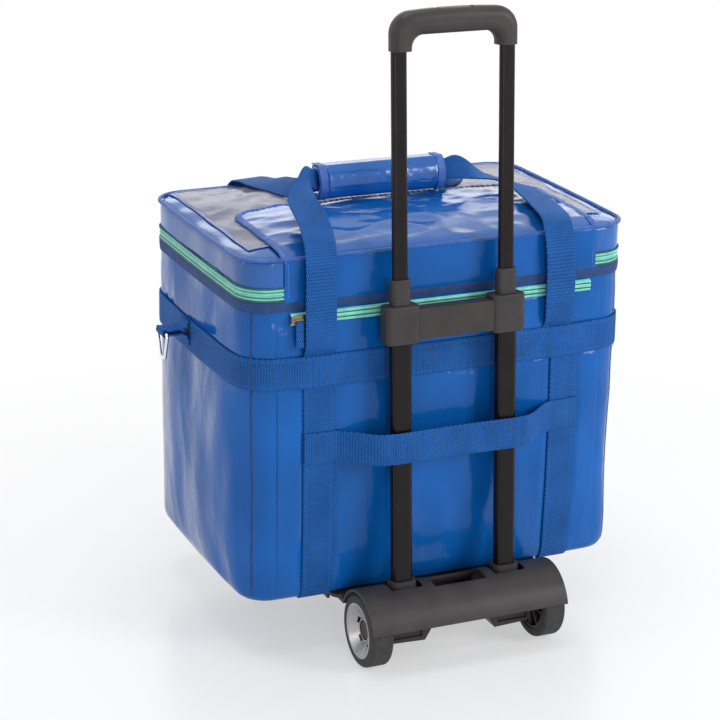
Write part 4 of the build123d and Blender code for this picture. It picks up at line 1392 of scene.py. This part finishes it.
def make_wrap():
    """Padded wrap round the carry straps, open along its front."""
    wall = 0.005
    half_y, half_z = (WRAP_HIGH.y - WRAP_LOW.y) / 2, (WRAP_HIGH.z - WRAP_LOW.z) / 2
    middle = (WRAP_LOW + WRAP_HIGH) / 2
    length = WRAP_HIGH.x - WRAP_LOW.x
    radius = 0.010
    lip = half_y

    def outline(v):
        corners = [
            (lip, -half_z + wall / 2), (lip * 0.4, -half_z + wall / 2),
            (-half_y + radius, -half_z + wall / 2),
            (-half_y + wall * 0.8, -half_z + radius), (-half_y + wall / 2, -half_z * 0.15),
            (-half_y * 0.70, half_z * 0.38), (-half_y * 0.22, half_z - wall / 2),
            (lip * 0.4, half_z - wall / 2), (lip, half_z - wall / 2),
        ]
        return between(corners, v)

    def outside(v, lift):
        out = Vector((0, *outline(v)))
        return out + out.normalized() * (wall * lift)

    def place(u, v):
        y, z = outline(v)
        swell = 1 + 0.05 * math.sin(math.pi * u) ** 0.5
        band = 1.0 if 0.06 < u < 0.94 else 0.93
        fold = 0.0010 * noise.noise(Vector((u * 9, v * 5, 2)))
        x = middle.x + (u - 0.5) * length
        return Vector((x, middle.y + y * band + fold, middle.z + z * band * (0.96 + 0.04 * swell)))

    bm = surface(56, 36, place, (length, 0.11), wall * 0.86, False, 0.0012)
    piece = keep(bm, "grip_wrap", "lid", "lid", ("carry_wrap",), "coated_fabric")

    def overlap(u, v):
        out = outside(0.49 + 0.26 * v, 0.66)
        x = middle.x + (u - 0.5) * length * 0.86
        wave = 0.0005 * noise.noise(Vector((u * 14, v * 3, 8)))
        return Vector((x, middle.y + out.y - wave, middle.z + out.z))

    bm = surface(70, 10, overlap, (length, 0.03), 0.0012)
    keep(bm, "grip_wrap_overlap", "lid", "lid", (), "coated_fabric")

    for number, u in enumerate((0.035, 0.965), 1):
        x = middle.x + (u - 0.5) * length

        def band(s, v, x=x):
            out = outside(s, 0.52)
            return Vector((x + (v - 0.5) * 0.010, middle.y + out.y, middle.z + out.z))

        bm = surface(48, 3, band, (0.11, 0.010), 0.0012)
        keep(bm, f"grip_wrap_band_{number}", "trim", "lid", (), "coated_fabric")


def make_side_tabs():
    """Webbing tabs that hold the D rings at the bag's two ends."""
    low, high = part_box("side_tabs")
    ring_low, ring_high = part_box("d_ring_right")
    y = (low.y + high.y) / 2
    width = (high.y - low.y) * 0.96
    eye = Vector(((ring_low.x + ring_high.x) / 2, y, ring_high.z - 0.002))
    for side, name in ((-1, "left"), (1, "right")):
        wall = cast(SKINS["bag"], Vector((side * HALF_X, y, eye.z)), Vector((-side, 0, 0)), 0.0).x
        root = wall + side * 0.0042
        eye_x = side * eye.x
        turn = 0.0034
        spine = []
        for dx, dz in ((0.0, -0.017), (0.0006, -0.010), (0.004, -0.0045), (0.012, -0.0026)):
            spine.append((Vector((root + side * dx, y, eye.z + dz)), TO_FRONT))
        for step in range(7):
            angle = math.radians(-90 + 30 * step)
            at = Vector((eye_x + side * turn * math.cos(angle), y, eye.z + turn * math.sin(angle)))
            spine.append((at, TO_FRONT))
        for dx, dz in ((0.012, 0.0026), (0.004, 0.0045), (0.0006, 0.010), (0.0, 0.013)):
            spine.append((Vector((root + side * dx, y, eye.z + dz)), TO_FRONT))
        piece = ribbon("side_tab_" + name, spine, "bag", 0.0015, width)
        if side < 0:
            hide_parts("side_tabs")


FINISHES = {
    "plastic": (
        "wheel_housing", "axle_carriers", "axle_caps", "support_platform", "platform_feet",
        "wheel_core_left", "wheel_core_right", "tube_bracket", "middle_collars", "trolley_handle",
    ),
    "button": ("release_button", "button_yoke", "inner_tube_plugs"),
    "tube": ("outer_tubes", "middle_tubes", "inner_tubes"),
    "rim": ("rim_cover_left", "rim_cover_right"),
    "rubber": ("tyre_left", "tyre_right", "foot_pads"),
    "chrome": ("d_ring_left", "d_ring_right"),
    "steel": ("axle", "housing_screws", "button_springs"),
    "bronze": ("pocket_slider", "main_slider_left", "main_slider_right"),
}


def finish_hard_parts():
    """Gives the trolley's and the fittings' own solids their finish."""
    for finish, nodes in FINISHES.items():
        for node in nodes:
            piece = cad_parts[node]
            piece.data.materials.clear()
            piece.data.materials.append(MATERIALS[finish])


def soft_light(name, place, target, size, power):
    """Oblong lamp that looks at a target."""
    lamp = bpy.data.lights.new(name, "AREA")
    lamp.shape = "RECTANGLE"
    lamp.size, lamp.size_y = size
    lamp.energy = power
    holder = in_scene(name, lamp)
    holder.visible_camera = False
    holder.location = place
    holder.rotation_mode = "QUATERNION"
    holder.rotation_quaternion = (Vector(target) - Vector(place)).to_track_quat("-Z", "Y")


def background_rays(tree):
    """One for the rays that see the white background: camera, glossy and transmission."""
    rays = tree.nodes.new("ShaderNodeLightPath")
    seen = maths(tree, "ADD", rays.outputs["Is Camera Ray"], rays.outputs["Is Glossy Ray"])
    seen = maths(tree, "ADD", seen, rays.outputs["Is Transmission Ray"])
    return maths(tree, "MINIMUM", seen, 1.0)


def mix_background(tree, factor, first, second, output):
    """Surface that goes from one shader to the other by a factor."""
    mix = tree.nodes.new("ShaderNodeMixShader")
    for socket, source in zip(mix.inputs, (factor, first.outputs[0], second.outputs[0])):
        tree.links.new(source, socket)
    tree.links.new(mix.outputs[0], tree.nodes[output].inputs["Surface"])


def make_stage(look):
    """Floor, world, lamps and the camera at the photograph's angle."""
    scene = bpy.context.scene
    bm = bmesh.new()
    bmesh.ops.create_grid(bm, x_segments=1, y_segments=1, size=6.0)
    mesh = bpy.data.meshes.new("floor")
    bm.to_mesh(mesh)
    bm.free()
    floor = in_scene("floor", mesh)
    material, tree, shader = new_material("floor_white", 0.25)
    shader.inputs["Base Color"].default_value = (*look.floor, 1)
    grain = noise_field(tree, object_place(tree), 3.0, 2.0)
    connect(tree, shader, None, None, spread(tree, grain, 0.22, 0.30))
    mesh.materials.append(material)
    place = tree.nodes.new("ShaderNodeTexCoord").outputs["Object"]
    away = add_node(tree, "ShaderNodeVectorMath", Vector=place)
    away.operation = "LENGTH"
    fade = add_node(
        tree, "ShaderNodeMapRange", Value=away.outputs["Value"], From_Min=0.35, From_Max=1.0, To_Min=0.5,
        To_Max=1.0,
    )
    glow = add_node(tree, "ShaderNodeEmission", Color=(1, 1, 1, 1), Strength=1.0)
    seen = times(tree, background_rays(tree), fade.outputs["Result"])
    mix_background(tree, seen, shader, glow, "Material Output")

    world = bpy.data.worlds.new("studio")
    scene.world = world
    world.use_nodes = True
    tree = world.node_tree
    ground = tree.nodes["Background"]
    ground.inputs["Color"].default_value = (0.93, 0.95, 1.0, 1)
    ground.inputs["Strength"].default_value = 0.46
    plain = add_node(tree, "ShaderNodeBackground", Color=(1, 1, 1, 1), Strength=1.0)
    mix_background(tree, background_rays(tree), ground, plain, "World Output")

    target = (0, 0.03, 0.3)
    soft_light("rear_right", (1.7, -1.9, 1.4), target, (0.9, 1.4), 36)
    soft_light("left_strip", (-2.3, -0.1, 1.1), target, (0.25, 1.6), 7)
    soft_light("rear_low", (-0.4, -2.6, 0.7), target, (0.35, 0.9), 8)
    soft_light("lid_sheen", (1.05, 2.35, 1.2), (0, 0.03, 0.5), (2.4, 0.9), 9)
    soft_light("overhead", (-0.2, 0.1, 2.7), target, (1.6, 1.2), 20)

    cos_a, sin_a = math.cos(look.azimuth), math.sin(look.azimuth)
    cos_e, sin_e = math.cos(look.elevation), math.sin(look.elevation)
    back = Vector((sin_a * cos_e, -cos_a * cos_e, sin_e))
    right = Vector((cos_a, sin_a, 0))
    above = back.cross(right)
    turned = right * math.cos(look.roll) + above * math.sin(look.roll)
    above = above * math.cos(look.roll) - right * math.sin(look.roll)
    camera = bpy.data.cameras.new("photo_camera")
    camera.lens = look.lens
    camera.sensor_width = 36
    holder = in_scene("photo_camera", camera)
    aim = Vector((0, REAR_Y + 0.150, BOTTOM_Z + 0.200))
    holder.location = aim + back * look.distance - turned * look.aside + above * look.above
    holder.rotation_mode = "QUATERNION"
    holder.rotation_quaternion = Matrix((turned, above, back)).transposed().to_quaternion()
    scene.camera = holder
    scene.view_settings.view_transform = "Standard"


class COOLER_OT_finishes(bpy.types.Operator):
    """Make every material and give the hard parts theirs"""

    bl_idname = "cooler.finishes"
    bl_label = "Finishes and hard parts"

    def execute(self, context):
        make_materials(context.scene)
        finish_hard_parts()
        return {"FINISHED"}


class COOLER_OT_bag(bpy.types.Operator):
    """Make the bag's skin, lining, rim tape and corner seams"""

    bl_idname = "cooler.bag"
    bl_label = "Bag body"

    def execute(self, context):
        fabric = context.scene.cooler_fabric
        make_bag_skin(fabric)
        make_bag_lining()
        make_rim()
        make_corner_seams()
        return {"FINISHED"}


class COOLER_OT_lid(bpy.types.Operator):
    """Make the padded lid with its piping, flap and document window"""

    bl_idname = "cooler.lid"
    bl_label = "Lid"

    def execute(self, context):
        make_lid_skin(context.scene.cooler_fabric)
        make_piping()
        make_lid_top()
        return {"FINISHED"}


class COOLER_OT_zips(bpy.types.Operator):
    """Make the main zip, the rear pocket with its zip, and the pulls"""

    bl_idname = "cooler.zips"
    bl_label = "Zips and pocket"

    def execute(self, context):
        make_main_zip()
        make_zip_hems()
        make_rear_pocket()
        make_pulls()
        return {"FINISHED"}


class COOLER_OT_webbing(bpy.types.Operator):
    """Make every strap of webbing"""

    bl_idname = "cooler.webbing"
    bl_label = "Webbing"

    def execute(self, context):
        make_upright_straps()
        make_belt()
        make_sleeve_strap()
        make_carry_straps()
        make_side_tabs()
        return {"FINISHED"}


class COOLER_OT_wrap(bpy.types.Operator):
    """Make the padded carry wrap"""

    bl_idname = "cooler.wrap"
    bl_label = "Carry wrap"

    def execute(self, context):
        make_wrap()
        return {"FINISHED"}


class COOLER_OT_stage(bpy.types.Operator):
    """Set the floor, the lamps and the camera"""

    bl_idname = "cooler.stage"
    bl_label = "Stage"

    def execute(self, context):
        make_stage(context.scene.cooler_stage)
        return {"FINISHED"}


OPERATORS = (
    COOLER_OT_finishes, COOLER_OT_bag, COOLER_OT_lid, COOLER_OT_zips, COOLER_OT_webbing,
    COOLER_OT_wrap, COOLER_OT_stage,
)


class COOLER_PT_sidebar(bpy.types.Panel):
    """Lists the pieces and the sizes"""

    bl_label = "Cooler Bag"
    bl_idname = "COOLER_PT_sidebar"
    bl_space_type = "VIEW_3D"
    bl_region_type = "UI"
    bl_category = "Cooler Bag"

    def draw(self, context):
        for operator in OPERATORS:
            self.layout.operator(operator.bl_idname)
        for group in (context.scene.cooler_fabric, context.scene.cooler_trolley, context.scene.cooler_stage):
            for name in group.bl_rna.properties.keys():
                if name not in ("rna_type", "name"):
                    self.layout.prop(group, name)


GROUPS = (
    ("cooler_fabric", FabricLook),
    ("cooler_trolley", TrolleyLook),
    ("cooler_stage", StageLook),
)


def register():
    """Registers the classes and hangs the settings on the scene."""
    for _, group in GROUPS:
        bpy.utils.register_class(group)
    for operator in OPERATORS:
        bpy.utils.register_class(operator)
    bpy.utils.register_class(COOLER_PT_sidebar)
    for name, group in GROUPS:
        setattr(bpy.types.Scene, name, bpy.props.PointerProperty(type=group))


def unregister():
    """Takes everything that register added away again."""
    for name, _ in GROUPS:
        delattr(bpy.types.Scene, name)
    bpy.utils.unregister_class(COOLER_PT_sidebar)
    for operator in reversed(OPERATORS):
        bpy.utils.unregister_class(operator)
    for _, group in reversed(GROUPS):
        bpy.utils.unregister_class(group)


def main():
    """Dresses the bag."""
    register()
    bpy.ops.cooler.finishes()
    bpy.ops.cooler.bag()
    bpy.ops.cooler.lid()
    bpy.ops.cooler.zips()
    bpy.ops.cooler.webbing()
    bpy.ops.cooler.wrap()
    bpy.ops.cooler.stage()


if __name__ == "__main__":
    main()
